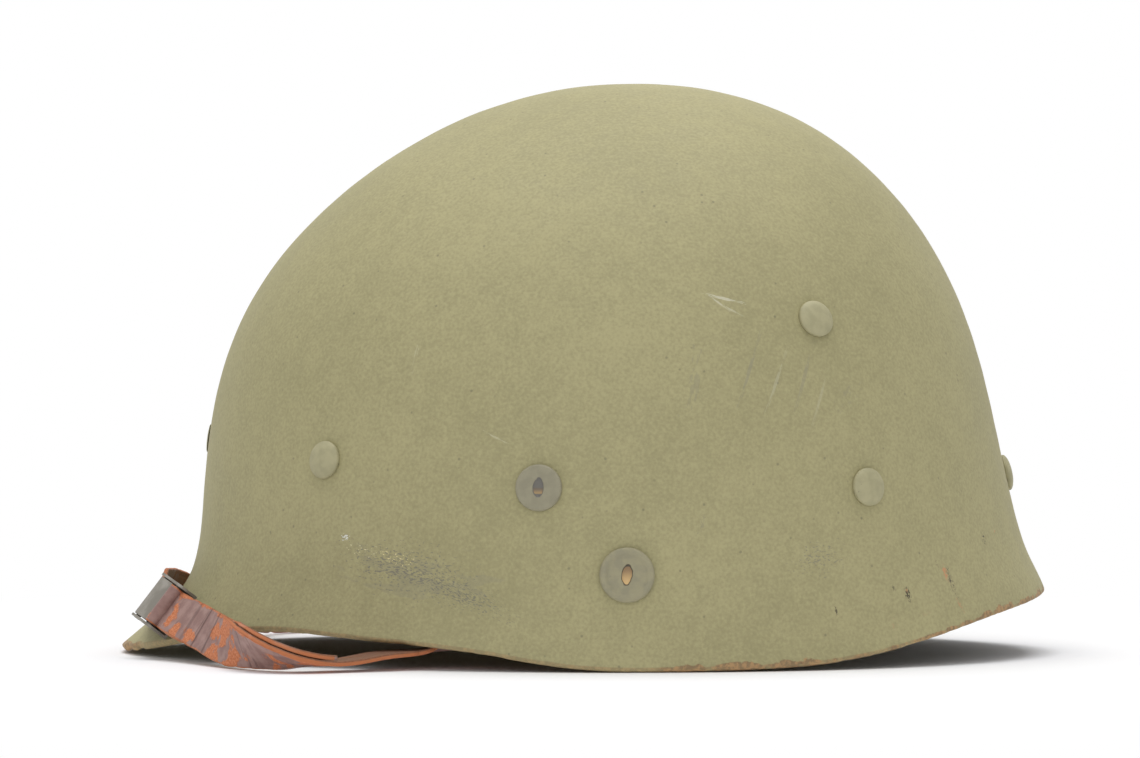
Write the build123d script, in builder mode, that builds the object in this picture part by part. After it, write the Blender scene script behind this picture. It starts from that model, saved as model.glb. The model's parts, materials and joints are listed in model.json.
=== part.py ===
"""Fibre liner of a steel pot helmet, with its webbing, sweatband and leather chinstrap.

The visor looks along -X, the wearer's left side is -Y and +Z is up. The liner stands on its
rim, and the origin is on the table under the middle of its length.
"""
from build123d import *
import math
import os

import numpy as np

# Driving dimensions, in millimetres and degrees
overall_length = 275.4
shell_width = 228.0
shell_height = 169.0
wall = 2.4
fit = 0.1
soft_gap = 0.4
overrun = 20.0

# The dome: level as a share of the height, then the front and rear ends as shares of the
# overall length and the half breadth as a share of half the width
dome_shares = [
    (-0.036, -0.5320, 0.5447, 1.0140),
    (0.000, -0.5070, 0.5320, 1.0000),
    (0.047, -0.4728, 0.5150, 0.9825),
    (0.083, -0.4488, 0.5047, 0.9746),
    (0.118, -0.4303, 0.4982, 0.9710),
    (0.160, -0.4187, 0.4858, 0.9690),
    (0.266, -0.4092, 0.4644, 0.9620),
    (0.414, -0.3994, 0.4444, 0.9350),
    (0.592, -0.3653, 0.4139, 0.8540),
    (0.769, -0.2840, 0.3544, 0.6950),
    (0.905, -0.1692, 0.2672, 0.4690),
    (0.979, -0.0537, 0.1638, 0.2330),
    (1.000, 0.0559, 0.0559, 0.0000),
]
waist_share = 0.029
section_count = 24
crown_start_share = 0.06
row_step_share = 0.125

# The cut edge: level of its lower corner as a share of the height, by the angle round the
# dome in degrees from the rear
rim_shares = [
    (0.0, 0.1053),
    (17.0, 0.0965),
    (35.0, 0.0722),
    (51.0, 0.0349),
    (65.5, 0.0071),
    (73.0, 0.0024),
    (84.0, 0.0000),
    (94.0, 0.0041),
    (105.0, 0.0266),
    (123.0, 0.0473),
    (139.0, 0.0533),
    (152.0, 0.0296),
    (165.0, 0.0095),
    (180.0, 0.0024),
]
rim_cut_reach = 7.0
rim_cut_drop = 36.0
rim_cut_steps = 31

# Rivets, placed by the angle round the dome from the rear and the share of the height
rivet_shank_radius = 2.0
rivet_head_radius = 5.35
rivet_head_height = 2.1
rivet_head_edge = 0.5
shoulder_reach_share = 0.68
shoulder_rise_share = 0.72
rivet_flat_radius = 6.5
rivet_flat_height = 1.3
clinch_radius = 3.6
clinch_height = 1.2
head_lift = 0.06
slit_width = 1.8
slit_length = 6.4
slit_depth = 0.7
front_angle, front_level_share = 132.9, 0.344
side_angle, side_level_share = 100.5, 0.301
rear_angle, rear_level_share = 58.7, 0.579
nape_angle, nape_level_share = 53.1, 0.300
nape_rear_level_share = 0.314
stud_angle, stud_level_share = 88.6, 0.159
eyelet_level_share = 0.375

# Steel washers, bent inwards to hold the webbing
washer_thickness = 1.0
washer_seat = 0.7
washer_top_radius = 6.0
washer_fold_drop = 7.0
washer_fold_width = 16.0
washer_leg = 20.0
washer_foot_width = 30.0
slot_width = 20.0
slot_height = 5.5
washer_bar = 4.0
lean_range = (-60.0, 75.0)
lean_step = 0.001

# Webbing and the leather sweatband, both ovals seen from above
head_end_gap = 37.7
head_side_gap = 31.0
head_centre_share = 0.018
leather = 1.6
band_gap = 1.6
web = 1.6
band_height = 24.0
sweatband_height = 32.0
front_rise = 2.4
rear_rise = 8.4
band_station_count = 9
loop_gap = 0.4
crown_strap_width = 19.0
crown_drop = 22.0
strap_straight = 9.0
crown_gap = 1.5
band_free = 2.2
nape_strap_height = 19.0
nape_clearance = 13.0
nape_start_share = 0.235

# Clips and the size slider on the sweatband
clip_sheet = 0.6
clip_width = 9.0
clip_lift = 0.8
clip_outer_leg = 13.0
clip_inner_leg = 15.0
clip_angles = (20.0, 79.0, 156.0)
clip_rivet_radius = 1.1
clip_rivet_head = 2.6
clip_rivet_height = 0.7
clip_rivet_spread = 1.65
strap_rivet_spread = 1.8
size_strap_height = 19.0
size_strap_angle = 26.0
slider_sheet = 0.5
slider_gap = 0.25
slider_height_gap = 0.6
slider_half_angle = 5.0

# Chinstrap: leather, studs, clips and the friction buckle
strap_width = 12.7
strap_leather = 1.4
stud_head_radius = 7.65
stud_lift = 0.2
stud_head_height = 1.5
stud_dish_radius = 5.6
stud_dish_depth = 0.5
stud_shank_radius = 3.0
stud_flange_radius = 6.0
stud_flange = 1.0
stud_neck_radius = 2.2
stud_knob_radius = 3.6
stud_knob = 2.2
strap_clip_radius = 8.6
strap_clip_sheet = 1.0
strap_clip_gap = 0.4
strap_clip_reach = 22.0
strap_clip_hole = 0.5
strap_rivet_place = 17.0
buckle_length = 17.0
buckle_sheet = 0.8
buckle_gap = 0.3
buckle_side_gap = 0.5
buckle_rise = 2.7
cam_sheet = 1.0
cam_reach = 8.8
cam_lip_gap = 0.3
cam_side_gap = 0.3
pin_radius = 0.8
pin_place = -7.0
pin_rise = 1.0
bar_radius = 0.8
bar_place = 4.7
bar_rise = 1.45
barrel_radius = 1.5
loop_leather = 1.15

# Chinstrap route from the front of the visor back to the stud: shares of half the length,
# of half the width and of the strap's width, then the outward lean of its upper edge
route_shares = [
    (-0.9122, -0.0000, 1.465, -20.0),
    (-0.9107, -0.1490, 1.425, -24.0),
    (-0.9090, -0.2939, 1.375, -36.0),
    (-0.8545, -0.4430, 1.085, -36.0),
    (-0.7807, -0.6140, 0.790, -29.0),
    (-0.7226, -0.7895, 0.560, -8.0),
    (-0.6645, -0.9298, 0.470, 34.0),
    (-0.6100, -0.9825, 0.322, 60.0),
    (-0.5665, -0.9877, 0.225, 78.0),
    (-0.5229, -0.9649, 0.185, 87.0),
    (-0.4684, -0.9298, 0.228, 90.0),
    (-0.4140, -0.8912, 0.325, 90.0),
    (-0.3631, -0.8544, 0.370, 90.0),
    (-0.3159, -0.8263, 0.425, 84.0),
    (-0.2542, -0.8088, 0.660, 62.0),
    (-0.1743, -0.8202, 0.985, 36.0),
    (-0.0944, -0.8596, 1.340, 14.0),
]
buckle_after_count = 2
tail_end_share = 0.51
route_step_count = 3
nudge_share = 0.001
run_nudge = 0.25

half_length = overall_length / 2
half_width = shell_width / 2
head_length = overall_length - 2 * head_end_gap
head_breadth = shell_width - 2 * head_side_gap


def smooth(knots, values, at):
    """Value at a place on the natural cubic curve through hand-set knots."""
    knots = np.asarray(knots, float)
    values = np.asarray(values, float)
    gap = np.diff(knots)
    count = len(knots)
    system = np.eye(count)
    right = np.zeros(count)
    for i in range(1, count - 1):
        system[i, i - 1:i + 2] = gap[i - 1], 2 * (gap[i - 1] + gap[i]), gap[i]
        rise = (values[i + 1] - values[i]) / gap[i]
        right[i] = 6 * (rise - (values[i] - values[i - 1]) / gap[i - 1])
    bend = np.linalg.solve(system, right)
    i = int(np.clip(np.searchsorted(knots, at) - 1, 0, count - 2))
    before = knots[i + 1] - at
    after = at - knots[i]
    curved = (bend[i] * before**3 + bend[i + 1] * after**3) / (6 * gap[i])
    near = (values[i] / gap[i] - bend[i] * gap[i] / 6) * before
    far = (values[i + 1] / gap[i] - bend[i + 1] * gap[i] / 6) * after
    return curved + near + far


depth_knots = [math.sqrt(1 - row[0]) for row in reversed(dome_shares)]
front_knots = [row[1] * overall_length for row in reversed(dome_shares)]
rear_knots = [row[2] * overall_length for row in reversed(dome_shares)]
half_knots = [row[3] * half_width for row in reversed(dome_shares)]
crown_x = dome_shares[-1][1] * overall_length


def level_of(depth):
    """Height above the table at a depth share, where 0 is the crown and 1 the table."""
    return shell_height * (1 - depth**2)


def depth_of(level):
    """Depth share of a height above the table."""
    return math.sqrt(max(0.0, 1 - level / shell_height))


def waist_x(level):
    """Station along X where a level section of the dome is widest."""
    share = min(max(level / shell_height, 0.0), 1.0)
    start = waist_share * overall_length
    return start + (crown_x - start) * share


def dome_row(depth):
    """Level, front end, rear end and half breadth of the dome at a depth share."""
    ends = [smooth(depth_knots, k, depth) for k in (front_knots, rear_knots, half_knots)]
    return (level_of(depth), *ends)


def lining_row(depth, inset):
    """Level section of the surface that lies inset inwards from the dome."""
    step = crown_start_share * row_step_share
    low, high = dome_row(depth + step), dome_row(depth - step)
    fall = high[0] - low[0]
    slopes = ((high[1] - low[1]) / fall, (low[2] - high[2]) / fall, (low[3] - high[3]) / fall)
    ups = [s / math.hypot(1, s) for s in slopes]
    outs = [1 / math.hypot(1, s) for s in slopes]
    mean = sum(ups) / len(ups)
    shifts = [inset * (1 - mean * up) / out for up, out in zip(ups, outs)]
    level, front, rear, half = dome_row(depth)
    return level - inset * mean, front + shifts[0], rear - shifts[1], half - shifts[2]


def level_section(level, front, rear, half):
    """Egg-shaped level section made of two half ellipses."""
    waist = waist_x(level)
    with BuildSketch(Plane.XY.offset(level)) as section:
        with BuildLine():
            EllipticalCenterArc((waist, 0), waist - front, half, 90, arc_size=180)
            EllipticalCenterArc((waist, 0), rear - waist, half, 270, arc_size=180)
        make_face()
    return section.sketch


def dome_point(angle, level):
    """Point on the outside of the dome at an angle from the rear, and its outward normal."""
    turn = math.radians(angle)

    def place(turn_at, level_at):
        row = dome_row(depth_of(level_at))
        waist = waist_x(level_at)
        reach = row[2] - waist if math.cos(turn_at) >= 0 else waist - row[1]
        return Vector(waist + reach * math.cos(turn_at), row[3] * math.sin(turn_at), level_at)

    nudge = shell_height * nudge_share
    along = place(turn + math.radians(1), level) - place(turn - math.radians(1), level)
    upward = place(turn, level + nudge) - place(turn, level - nudge)
    return place(turn, level), along.cross(upward).normalized()


def wall_plane(angle, level):
    """Plane on the outside of the dome: x runs level, y runs up the wall, z outwards."""
    point, normal = dome_point(angle, level)
    level_dir = Vector(0, 0, 1).cross(normal).normalized()
    return Plane(origin=point, x_dir=level_dir, z_dir=normal)


head_x = head_centre_share * overall_length
leather_in = (head_length / 2, head_breadth / 2)
leather_out = (leather_in[0] + leather, leather_in[1] + leather)
band_in = (leather_out[0] + band_gap, leather_out[1] + band_gap)
band_out = (band_in[0] + web, band_in[1] + web)
loop_in = math.hypot(washer_bar, washer_thickness) / 2 + loop_gap
loop_out = loop_in + web
bar_oval = (band_out[0] + band_free + loop_out, band_out[1] + band_free + loop_out)
nape_row = lining_row(depth_of(nape_level_share * shell_height / 2), wall)
nape_out = (nape_row[2] - nape_clearance - head_x, nape_row[3] - nape_clearance)
nape_in = (nape_out[0] - web, nape_out[1] - web)
nape_bar_oval = (nape_out[0] + loop_out - web, nape_out[1] + loop_out - web)


class Washer:
    """A bent steel washer: its tab lies on the wall, its leg leans in to a bar."""

    def __init__(self, angle, level, oval):
        self.wall = wall_plane(angle, level)
        inset = wall + washer_seat + washer_thickness / 2
        self.tab = self.wall.offset(-inset)
        self.fold = self.tab.origin - self.tab.y_dir * washer_fold_drop
        inward = Vector(-self.wall.z_dir.X, -self.wall.z_dir.Y, 0).normalized()
        low, high = lean_range
        bar_way = washer_leg - washer_bar / 2
        while high - low > lean_step:
            self.lean = (low + high) / 2
            down = inward * math.sin(math.radians(self.lean))
            down = down - Vector(0, 0, math.cos(math.radians(self.lean)))
            self.bar = self.fold + down * bar_way
            place = ((self.bar.X - head_x) / oval[0])**2 + (self.bar.Y / oval[1])**2
            if place > 1:
                low = self.lean
            else:
                high = self.lean
        self.inward = inward
        self.leg = Plane(
            origin=self.fold,
            x_dir=self.tab.x_dir,
            z_dir=self.tab.x_dir.cross(down * -1),
        )


levels = {
    "front": (front_angle, front_level_share * shell_height),
    "side": (side_angle, side_level_share * shell_height),
    "rear": (rear_angle, rear_level_share * shell_height),
}
hand = {"left": -1, "right": 1}
washers = {
    f"{place}_{side}": Washer(sign * angle, level, bar_oval)
    for place, (angle, level) in levels.items()
    for side, sign in hand.items()
}
nape_washers = {
    f"nape_{side}": Washer(sign * nape_angle, nape_level_share * shell_height, nape_bar_oval)
    for side, sign in hand.items()
}
nape_washers["nape_rear"] = Washer(0, nape_rear_level_share * shell_height, nape_bar_oval)
stud_planes = {
    side: wall_plane(sign * stud_angle, stud_level_share * shell_height)
    for side, sign in hand.items()
}
eyelet_plane = wall_plane(180, eyelet_level_share * shell_height)
eyelet_bore_radius = 1.9
eyelet_barrel_radius = 2.5
eyelet_flange_radius = 4.2
eyelet_flange = 0.4

# Shell
depth_steps = np.linspace(crown_start_share, depth_knots[-1], section_count)
outer_rows = [dome_row(step) for step in depth_steps]
inner_rows = [lining_row(step, wall) for step in depth_steps[1:]]
inner_rows.append(lining_row(depth_steps[-1], wall))
inner_rows[-1] = (inner_rows[-2][0] - 2 * wall, *inner_rows[-2][1:])
rim_angles = [-rim_shares[1][0], *(row[0] for row in rim_shares), 360 - rim_shares[-2][0]]
rim_levels = [
    shell_height * share
    for share in (rim_shares[1][1], *(row[1] for row in rim_shares), rim_shares[-2][1])
]


def rim_corner(angle, floor):
    """Outer corner of the cut edge at an angle, with the wall's normal there."""
    lower = smooth(rim_angles, rim_levels, angle) - floor
    normal = dome_point(angle, lower)[1]
    return dome_point(angle, lower + wall * normal.Z)


side_corners = [rim_corner(angle, 0) for angle in range(60, 120)]
rim_floor = min((corner - normal * wall).Z for corner, normal in side_corners)


def rim_quad(angle):
    """Four-sided section, square to the wall, of what is cut away below the rim."""
    corner, normal = rim_corner(angle, rim_floor)
    level_way = Vector(0, 0, 1).cross(normal).normalized()
    down = level_way.cross(normal)
    down = down if down.Z < 0 else down * -1
    reach = normal * rim_cut_reach
    drop = down * rim_cut_drop
    return Wire.make_polygon(
        [corner + reach, corner - reach, corner - reach + drop, corner + reach + drop], close=True
    )


with BuildPart() as liner_shell:
    loft([*(level_section(*row) for row in reversed(outer_rows)), Vertex(crown_x, 0, shell_height)])
    cavity_top = Vertex(crown_x, 0, shell_height - wall)
    loft(
        [*(level_section(*row) for row in reversed(inner_rows)), cavity_top],
        mode=Mode.SUBTRACT,
    )
    cut_angles = np.linspace(0, 180, rim_cut_steps)
    below_rim = Solid.make_loft([rim_quad(float(angle)) for angle in cut_angles])
    add(below_rim, mode=Mode.SUBTRACT)
    add(below_rim.mirror(Plane.XZ), mode=Mode.SUBTRACT)
    for holder in [*washers.values(), *nape_washers.values()]:
        with BuildSketch(holder.wall):
            Circle(rivet_shank_radius + fit)
        extrude(amount=2 * wall, both=True, mode=Mode.SUBTRACT)
    for plane in stud_planes.values():
        with BuildSketch(plane):
            Circle(stud_shank_radius + fit)
        extrude(amount=2 * wall, both=True, mode=Mode.SUBTRACT)
    with BuildSketch(eyelet_plane):
        Circle(eyelet_barrel_radius + fit)
    extrude(amount=2 * wall, both=True, mode=Mode.SUBTRACT)

# Front eyelet
inner_face = -wall - washer_seat
with BuildPart() as insignia_eyelet:
    with BuildSketch(Plane(eyelet_plane.origin, eyelet_plane.x_dir, -eyelet_plane.y_dir)):
        with BuildLine():
            Polyline(
                (eyelet_bore_radius, inner_face - eyelet_flange),
                (eyelet_flange_radius, inner_face - eyelet_flange),
                (eyelet_flange_radius, inner_face),
                (eyelet_barrel_radius, inner_face),
                (eyelet_barrel_radius, head_lift),
                (eyelet_flange_radius, head_lift),
                (eyelet_flange_radius, head_lift + eyelet_flange / 2),
                (eyelet_barrel_radius, head_lift + eyelet_flange),
                (eyelet_bore_radius, head_lift + eyelet_flange),
                close=True,
            )
        make_face()
    revolve(axis=Axis(eyelet_plane.origin, eyelet_plane.z_dir))


def washer_part(holder):
    """Bent washer with a rivet hole in its tab and a slot above its bar."""
    half_fold = washer_fold_width / 2
    with BuildPart() as part:
        with BuildSketch(holder.tab):
            with BuildLine():
                lean = math.atan2(half_fold - washer_top_radius, washer_fold_drop)
                x = washer_top_radius * math.cos(lean)
                y = washer_top_radius * math.sin(lean)
                Polyline((-x, y), (-half_fold, -washer_fold_drop), (half_fold, -washer_fold_drop), (x, y))
                ThreePointArc((x, y), (0, washer_top_radius), (-x, y))
            make_face()
            Circle(rivet_shank_radius + fit, mode=Mode.SUBTRACT)
        extrude(amount=washer_thickness / 2, both=True)
        with BuildSketch(holder.leg) as leg:
            with BuildLine():
                Polyline(
                    (-half_fold, washer_thickness / 2),
                    (-washer_foot_width / 2, -washer_leg),
                    (washer_foot_width / 2, -washer_leg),
                    (half_fold, washer_thickness / 2),
                    close=True,
                )
            make_face()
            with Locations((0, -washer_leg + washer_bar + slot_height / 2)):
                Rectangle(slot_width, slot_height, mode=Mode.SUBTRACT)
            fillet(leg.vertices().group_by(Axis.Y)[0], washer_bar / 2)
        extrude(amount=washer_thickness / 2, both=True)
    return part


def rivet_part(plane, flat):
    """Rivet with a domed or a flat head outside and a clinched tail inside."""
    tail = inner_face - washer_thickness - fit
    side_plane = Plane(plane.origin, plane.x_dir, -plane.y_dir)
    head_radius = rivet_flat_radius if flat else rivet_head_radius
    head_height = rivet_flat_height if flat else rivet_head_height
    top = head_lift + head_height
    with BuildPart() as part:
        with BuildSketch(side_plane):
            with BuildLine():
                Polyline(
                    (0, top),
                    (0, tail - clinch_height),
                    (clinch_radius - clinch_height / 2, tail - clinch_height),
                    (clinch_radius, tail),
                    (rivet_shank_radius, tail),
                    (rivet_shank_radius, head_lift),
                    (head_radius, head_lift),
                    (head_radius, head_lift + rivet_head_edge),
                )
                if flat:
                    Polyline(
                        (head_radius, head_lift + rivet_head_edge),
                        (head_radius - rivet_head_edge, top),
                        (0, top),
                    )
                else:
                    start = head_lift + rivet_head_edge
                    rise = shoulder_rise_share * (head_height - rivet_head_edge)
                    Spline(
                        (head_radius, start),
                        (head_radius * shoulder_reach_share, start + rise),
                        (0, top),
                        tangents=((0, 1), (-1, 0)),
                    )
            make_face()
        revolve(axis=Axis(plane.origin, plane.z_dir))
        if flat:
            with BuildSketch(plane.offset(top)):
                SlotOverall(slit_length, slit_width, rotation=90)
            extrude(amount=-slit_depth, mode=Mode.SUBTRACT)
    return part


def stud_part(plane):
    """Chinstrap stud: dished head outside, mushroom knob inside for the strap's clip."""
    side_plane = Plane(plane.origin, plane.x_dir, -plane.y_dir)
    top = stud_lift + stud_head_height
    flange_end = inner_face - stud_flange
    knob_start = flange_end - 2 * strap_clip_gap - strap_clip_sheet
    knob_end = knob_start - stud_knob
    with BuildPart() as part:
        with BuildSketch(side_plane):
            with BuildLine():
                Polyline(
                    (0, top - stud_dish_depth),
                    (0, knob_end),
                    (stud_knob_radius / 2, knob_end),
                    (stud_knob_radius, (knob_start + knob_end) / 2),
                    (stud_neck_radius, knob_start),
                    (stud_neck_radius, flange_end),
                    (stud_flange_radius, flange_end),
                    (stud_flange_radius, inner_face),
                    (stud_shank_radius, inner_face),
                    (stud_shank_radius, stud_lift),
                    (stud_head_radius, stud_lift),
                    (stud_head_radius, top - stud_dish_depth),
                    (stud_head_radius - stud_dish_depth, top),
                    (stud_dish_radius + stud_dish_depth, top),
                    (stud_dish_radius, top - stud_dish_depth),
                    (0, top - stud_dish_depth),
                )
            make_face()
        revolve(axis=Axis(plane.origin, plane.z_dir))
        with BuildSketch(plane.offset(top)):
            SlotOverall(slit_length, slit_width, rotation=90)
        extrude(amount=-slit_depth - stud_dish_depth, mode=Mode.SUBTRACT)
    return part


def loop_part(holder, width):
    """Loop of webbing round the bar of a washer."""
    side = Plane(origin=holder.bar, x_dir=(0, 0, 1), z_dir=holder.tab.x_dir)
    with BuildSketch(side) as ring:
        Circle(loop_out)
        Circle(loop_in, mode=Mode.SUBTRACT)
    extrude(ring.sketch, amount=width / 2, both=True)


band_line = [
    (-band_out[0] + head_x, washers["front_left"].bar.Z + front_rise),
    (washers["front_left"].bar.X, washers["front_left"].bar.Z),
    (washers["side_left"].bar.X, washers["side_left"].bar.Z),
    (washers["rear_left"].bar.X, washers["rear_left"].bar.Z),
    (band_out[0] + head_x, washers["rear_left"].bar.Z + rear_rise),
]
band_x = [point[0] for point in band_line]
band_z = [point[1] for point in band_line]


def band_level(x):
    """Height of the middle of the headband at a station along X."""
    return smooth(band_x, band_z, x)


def oval_band(outer, inner, height, middle_line):
    """Upright oval wall, its top and bottom edges following a line seen from the side."""
    with BuildSketch(Plane.XY) as oval:
        with Locations((head_x, 0)):
            Ellipse(*outer)
            Ellipse(*inner, mode=Mode.SUBTRACT)
    extrude(oval.sketch, amount=shell_height)
    with BuildSketch(Plane.XZ) as strip:
        with BuildLine():
            upper = Spline(*[(x, z + height / 2) for x, z in middle_line])
            lower = Spline(*[(x, z - height / 2) for x, z in middle_line])
            Line(upper @ 0, lower @ 0)
            Line(upper @ 1, lower @ 1)
        make_face()
    extrude(strip.sketch, amount=half_width, both=True, mode=Mode.INTERSECT)


stations = np.linspace(-band_out[0] - web, band_out[0] + web, band_station_count)
strip_line = [(head_x + s, band_level(head_x + s)) for s in stations]

with BuildPart() as suspension_band:
    oval_band(band_out, band_in, band_height, strip_line)


def oval_plane(angle, oval):
    """Plane on the sweatband's oval: x follows the band, z points outwards."""
    turn = math.radians(angle)
    point = Vector(head_x + oval[0] * math.cos(turn), oval[1] * math.sin(turn), 0)
    normal = Vector(math.cos(turn) / oval[0], math.sin(turn) / oval[1], 0).normalized()
    along = Vector(0, 0, 1).cross(normal)
    nudge = head_length * nudge_share
    rise = band_level(point.X + along.X * nudge) - band_level(point.X - along.X * nudge)
    slope = (along + Vector(0, 0, rise / (2 * nudge))).normalized()
    level_x = head_x + band_out[0] * math.cos(turn)
    return Plane(origin=Vector(point.X, point.Y, band_level(level_x)), x_dir=slope, z_dir=normal)


clip_planes = {
    f"{place}_{side}": oval_plane(sign * angle, leather_out)
    for place, angle in zip(("rear", "side", "front"), clip_angles)
    for side, sign in hand.items()
}
clip_top = band_height / 2 + clip_lift
clip_rivet_drop = clip_top - clip_inner_leg + clip_rivet_head
slider_radius = leather_out[1]**2 / leather_out[0]
slider_x = head_x + leather_out[0] - slider_radius
rear_level = band_level(head_x + leather_out[0])
size_start = head_x + leather_in[0] * math.cos(math.radians(size_strap_angle))

with BuildPart() as size_strap:
    oval_band(leather_out, leather_in, size_strap_height, strip_line)

with BuildPart() as sweatband:
    oval_band(leather_out, leather_in, sweatband_height, strip_line)
    with BuildSketch(Plane.YZ.offset(size_start)):
        Rectangle(2 * shell_width, 2 * shell_height)
    extrude(amount=overall_length, mode=Mode.SUBTRACT)
    add(size_strap.part)
    rivet_feet = [
        Plane(origin=plane.from_local_coords((0, clip_rivet_drop, 0)), z_dir=plane.z_dir)
        for plane in clip_planes.values()
    ]
    with Locations(*[foot.location for foot in rivet_feet]):
        Cylinder(clip_rivet_radius + fit, 4 * leather, mode=Mode.SUBTRACT)


def clip_part(plane):
    """Sheet steel clip hooked over the top of the headband and riveted to the leather."""
    inner = soft_gap
    outer = band_gap + web + soft_gap
    side = Plane(origin=plane.origin, x_dir=plane.y_dir, z_dir=plane.x_dir)
    out_sign = 1 if side.y_dir.dot(plane.z_dir) > 0 else -1
    with BuildPart() as part:
        with BuildSketch(side) as hook:
            with BuildLine():
                Polyline(
                    *[
                        (up, out_sign * out)
                        for up, out in (
                            (clip_top - clip_inner_leg, inner),
                            (clip_top + clip_sheet, inner),
                            (clip_top + clip_sheet, outer + clip_sheet),
                            (clip_top - clip_outer_leg, outer + clip_sheet),
                            (clip_top - clip_outer_leg, outer),
                            (clip_top, outer),
                            (clip_top, inner + clip_sheet),
                            (clip_top - clip_inner_leg, inner + clip_sheet),
                        )
                    ],
                    close=True,
                )
            make_face()
        extrude(amount=clip_width / 2, both=True)
        with BuildSketch(plane):
            with Locations((0, clip_rivet_drop)):
                Circle(clip_rivet_radius + fit)
        extrude(amount=inner + 2 * clip_sheet, mode=Mode.SUBTRACT)
    return part


with BuildPart() as sweatband_rivets:
    for foot in rivet_feet:
        profile = Plane(foot.origin, foot.x_dir, -foot.y_dir)
        tail = soft_gap + clip_sheet + fit
        with BuildSketch(profile):
            with BuildLine():
                Polyline(
                    (0, -leather - fit - clip_rivet_height),
                    (clip_rivet_head / 2, -leather - fit - clip_rivet_height),
                    (clip_rivet_head, -leather - fit),
                    (clip_rivet_radius, -leather - fit),
                    (clip_rivet_radius, tail),
                    (clip_rivet_spread, tail),
                    (clip_rivet_radius, tail + 2 * fit),
                    (0, tail + 2 * fit),
                    close=True,
                )
            make_face()
        revolve(axis=Axis(foot.origin, foot.z_dir))

# Size slider: a flat loop round the narrow rear of the sweatband
with BuildPart() as size_slider:
    slider_top = size_strap_height / 2 + slider_height_gap
    slider_in = slider_radius - leather - slider_gap
    slider_out = slider_radius + slider_gap
    with BuildSketch(Plane(origin=(slider_x, 0, rear_level), x_dir=(1, 0, 0), z_dir=(0, -1, 0))):
        with Locations(((slider_in + slider_out) / 2, 0)):
            Rectangle(slider_out - slider_in + 2 * slider_sheet, 2 * (slider_top + slider_sheet))
            Rectangle(slider_out - slider_in, 2 * slider_top, mode=Mode.SUBTRACT)
    slider_axis = Axis((slider_x, 0, 0), (0, 0, 1))
    revolve(axis=slider_axis, revolution_arc=slider_half_angle)
    mirror(about=Plane.XZ)


def crown_strap(first, second, drop):
    """Web from one washer's bar up over the head to the bar on the far side."""
    inset = loop_out - web / 2
    ends = [holder.bar + holder.inward * inset for holder in (first, second)]
    flat = Vector(ends[1].X - ends[0].X, ends[1].Y - ends[0].Y, 0)
    along = flat.normalized()
    middle = (Vector(washers["side_left"].bar.X, 0, 0) - ends[0]).dot(along)
    origin = Vector(ends[0].X, ends[0].Y, 0) + along * middle
    plane = Plane(origin=origin, x_dir=along, z_dir=along.cross(Vector(0, 0, 1)))
    top = shell_height - wall - drop
    with BuildPart() as part:
        with BuildSketch(plane) as side:
            with BuildLine():
                for reach, end in ((-middle, ends[0]), (flat.length - middle, ends[1])):
                    start = end.Z + strap_straight
                    way = 1 if reach > 0 else -1
                    for half in (web / 2, -web / 2):
                        radius = abs(reach) + half
                        EllipticalCenterArc(
                            (0, start),
                            radius,
                            top - start + half,
                            0 if way > 0 else 90,
                            arc_size=90,
                        )
                        Line((way * radius, start), (way * radius, end.Z))
                    outer = way * (abs(reach) + web / 2)
                    Line((outer, end.Z), (outer - way * web, end.Z))
            make_face()
        extrude(amount=crown_strap_width / 2, both=True)
        for holder in (first, second):
            loop_part(holder, crown_strap_width - 2 * soft_gap)
            with BuildSketch(Plane(origin=holder.bar, x_dir=(0, 0, 1), z_dir=holder.tab.x_dir)):
                Circle(loop_in)
            extrude(amount=crown_strap_width, both=True, mode=Mode.SUBTRACT)
    return part


crown_pairs = {
    "crown_strap_front": ("front_left", "rear_right", crown_drop + 2 * (web + crown_gap)),
    "crown_strap_side": ("side_left", "side_right", crown_drop + web + crown_gap),
    "crown_strap_rear": ("front_right", "rear_left", crown_drop),
}

# Nape strap
nape_x = nape_start_share * overall_length
nape_middle = [holder.bar.Z for holder in (nape_washers["nape_left"], nape_washers["nape_rear"])]
with BuildPart() as nape_strap:
    with BuildSketch(Plane.XY) as nape_oval:
        with Locations((head_x, 0)):
            Ellipse(*nape_out)
            Ellipse(*nape_in, mode=Mode.SUBTRACT)
        with Locations((nape_x - half_length, 0)):
            Rectangle(overall_length, shell_width, mode=Mode.SUBTRACT)
    extrude(amount=shell_height)
    with BuildSketch(Plane.XZ) as nape_side:
        with BuildLine():
            low = nape_strap_height / 2
            Polyline(
                (nape_x, nape_middle[0] - low),
                (half_length, nape_middle[1] - low),
                (half_length, nape_middle[1] + low),
                (nape_x, nape_middle[0] + low),
                close=True,
            )
        make_face()
    extrude(amount=half_width, both=True, mode=Mode.INTERSECT)
    for holder in nape_washers.values():
        loop_part(holder, crown_strap_width)
        with BuildSketch(Plane(origin=holder.bar, x_dir=(0, 0, 1), z_dir=holder.tab.x_dir)):
            Circle(loop_in)
        extrude(amount=crown_strap_width, both=True, mode=Mode.SUBTRACT)

# Chinstrap clips: a plate on each stud with a tab that runs forward to the strap
clip_depth = inner_face - stud_flange - strap_clip_gap
strap_depth = clip_depth - strap_clip_sheet - fit - strap_leather / 2
route = [
    (x * half_length, y * half_width, z * strap_width, lean)
    for x, y, z, lean in route_shares
]
stud_left = stud_planes["left"]
tab_start = Vector(*route[-1][:3])
tab_local = stud_left.to_local_coords(tab_start)
tab_turn = math.degrees(math.atan2(tab_local.Y, tab_local.X))


def tab_point(reach, depth):
    """Point on the left stud's plane, a reach along the clip's tab and at a depth."""
    turn = math.radians(tab_turn)
    return stud_left.from_local_coords((reach * math.cos(turn), reach * math.sin(turn), depth))


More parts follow.
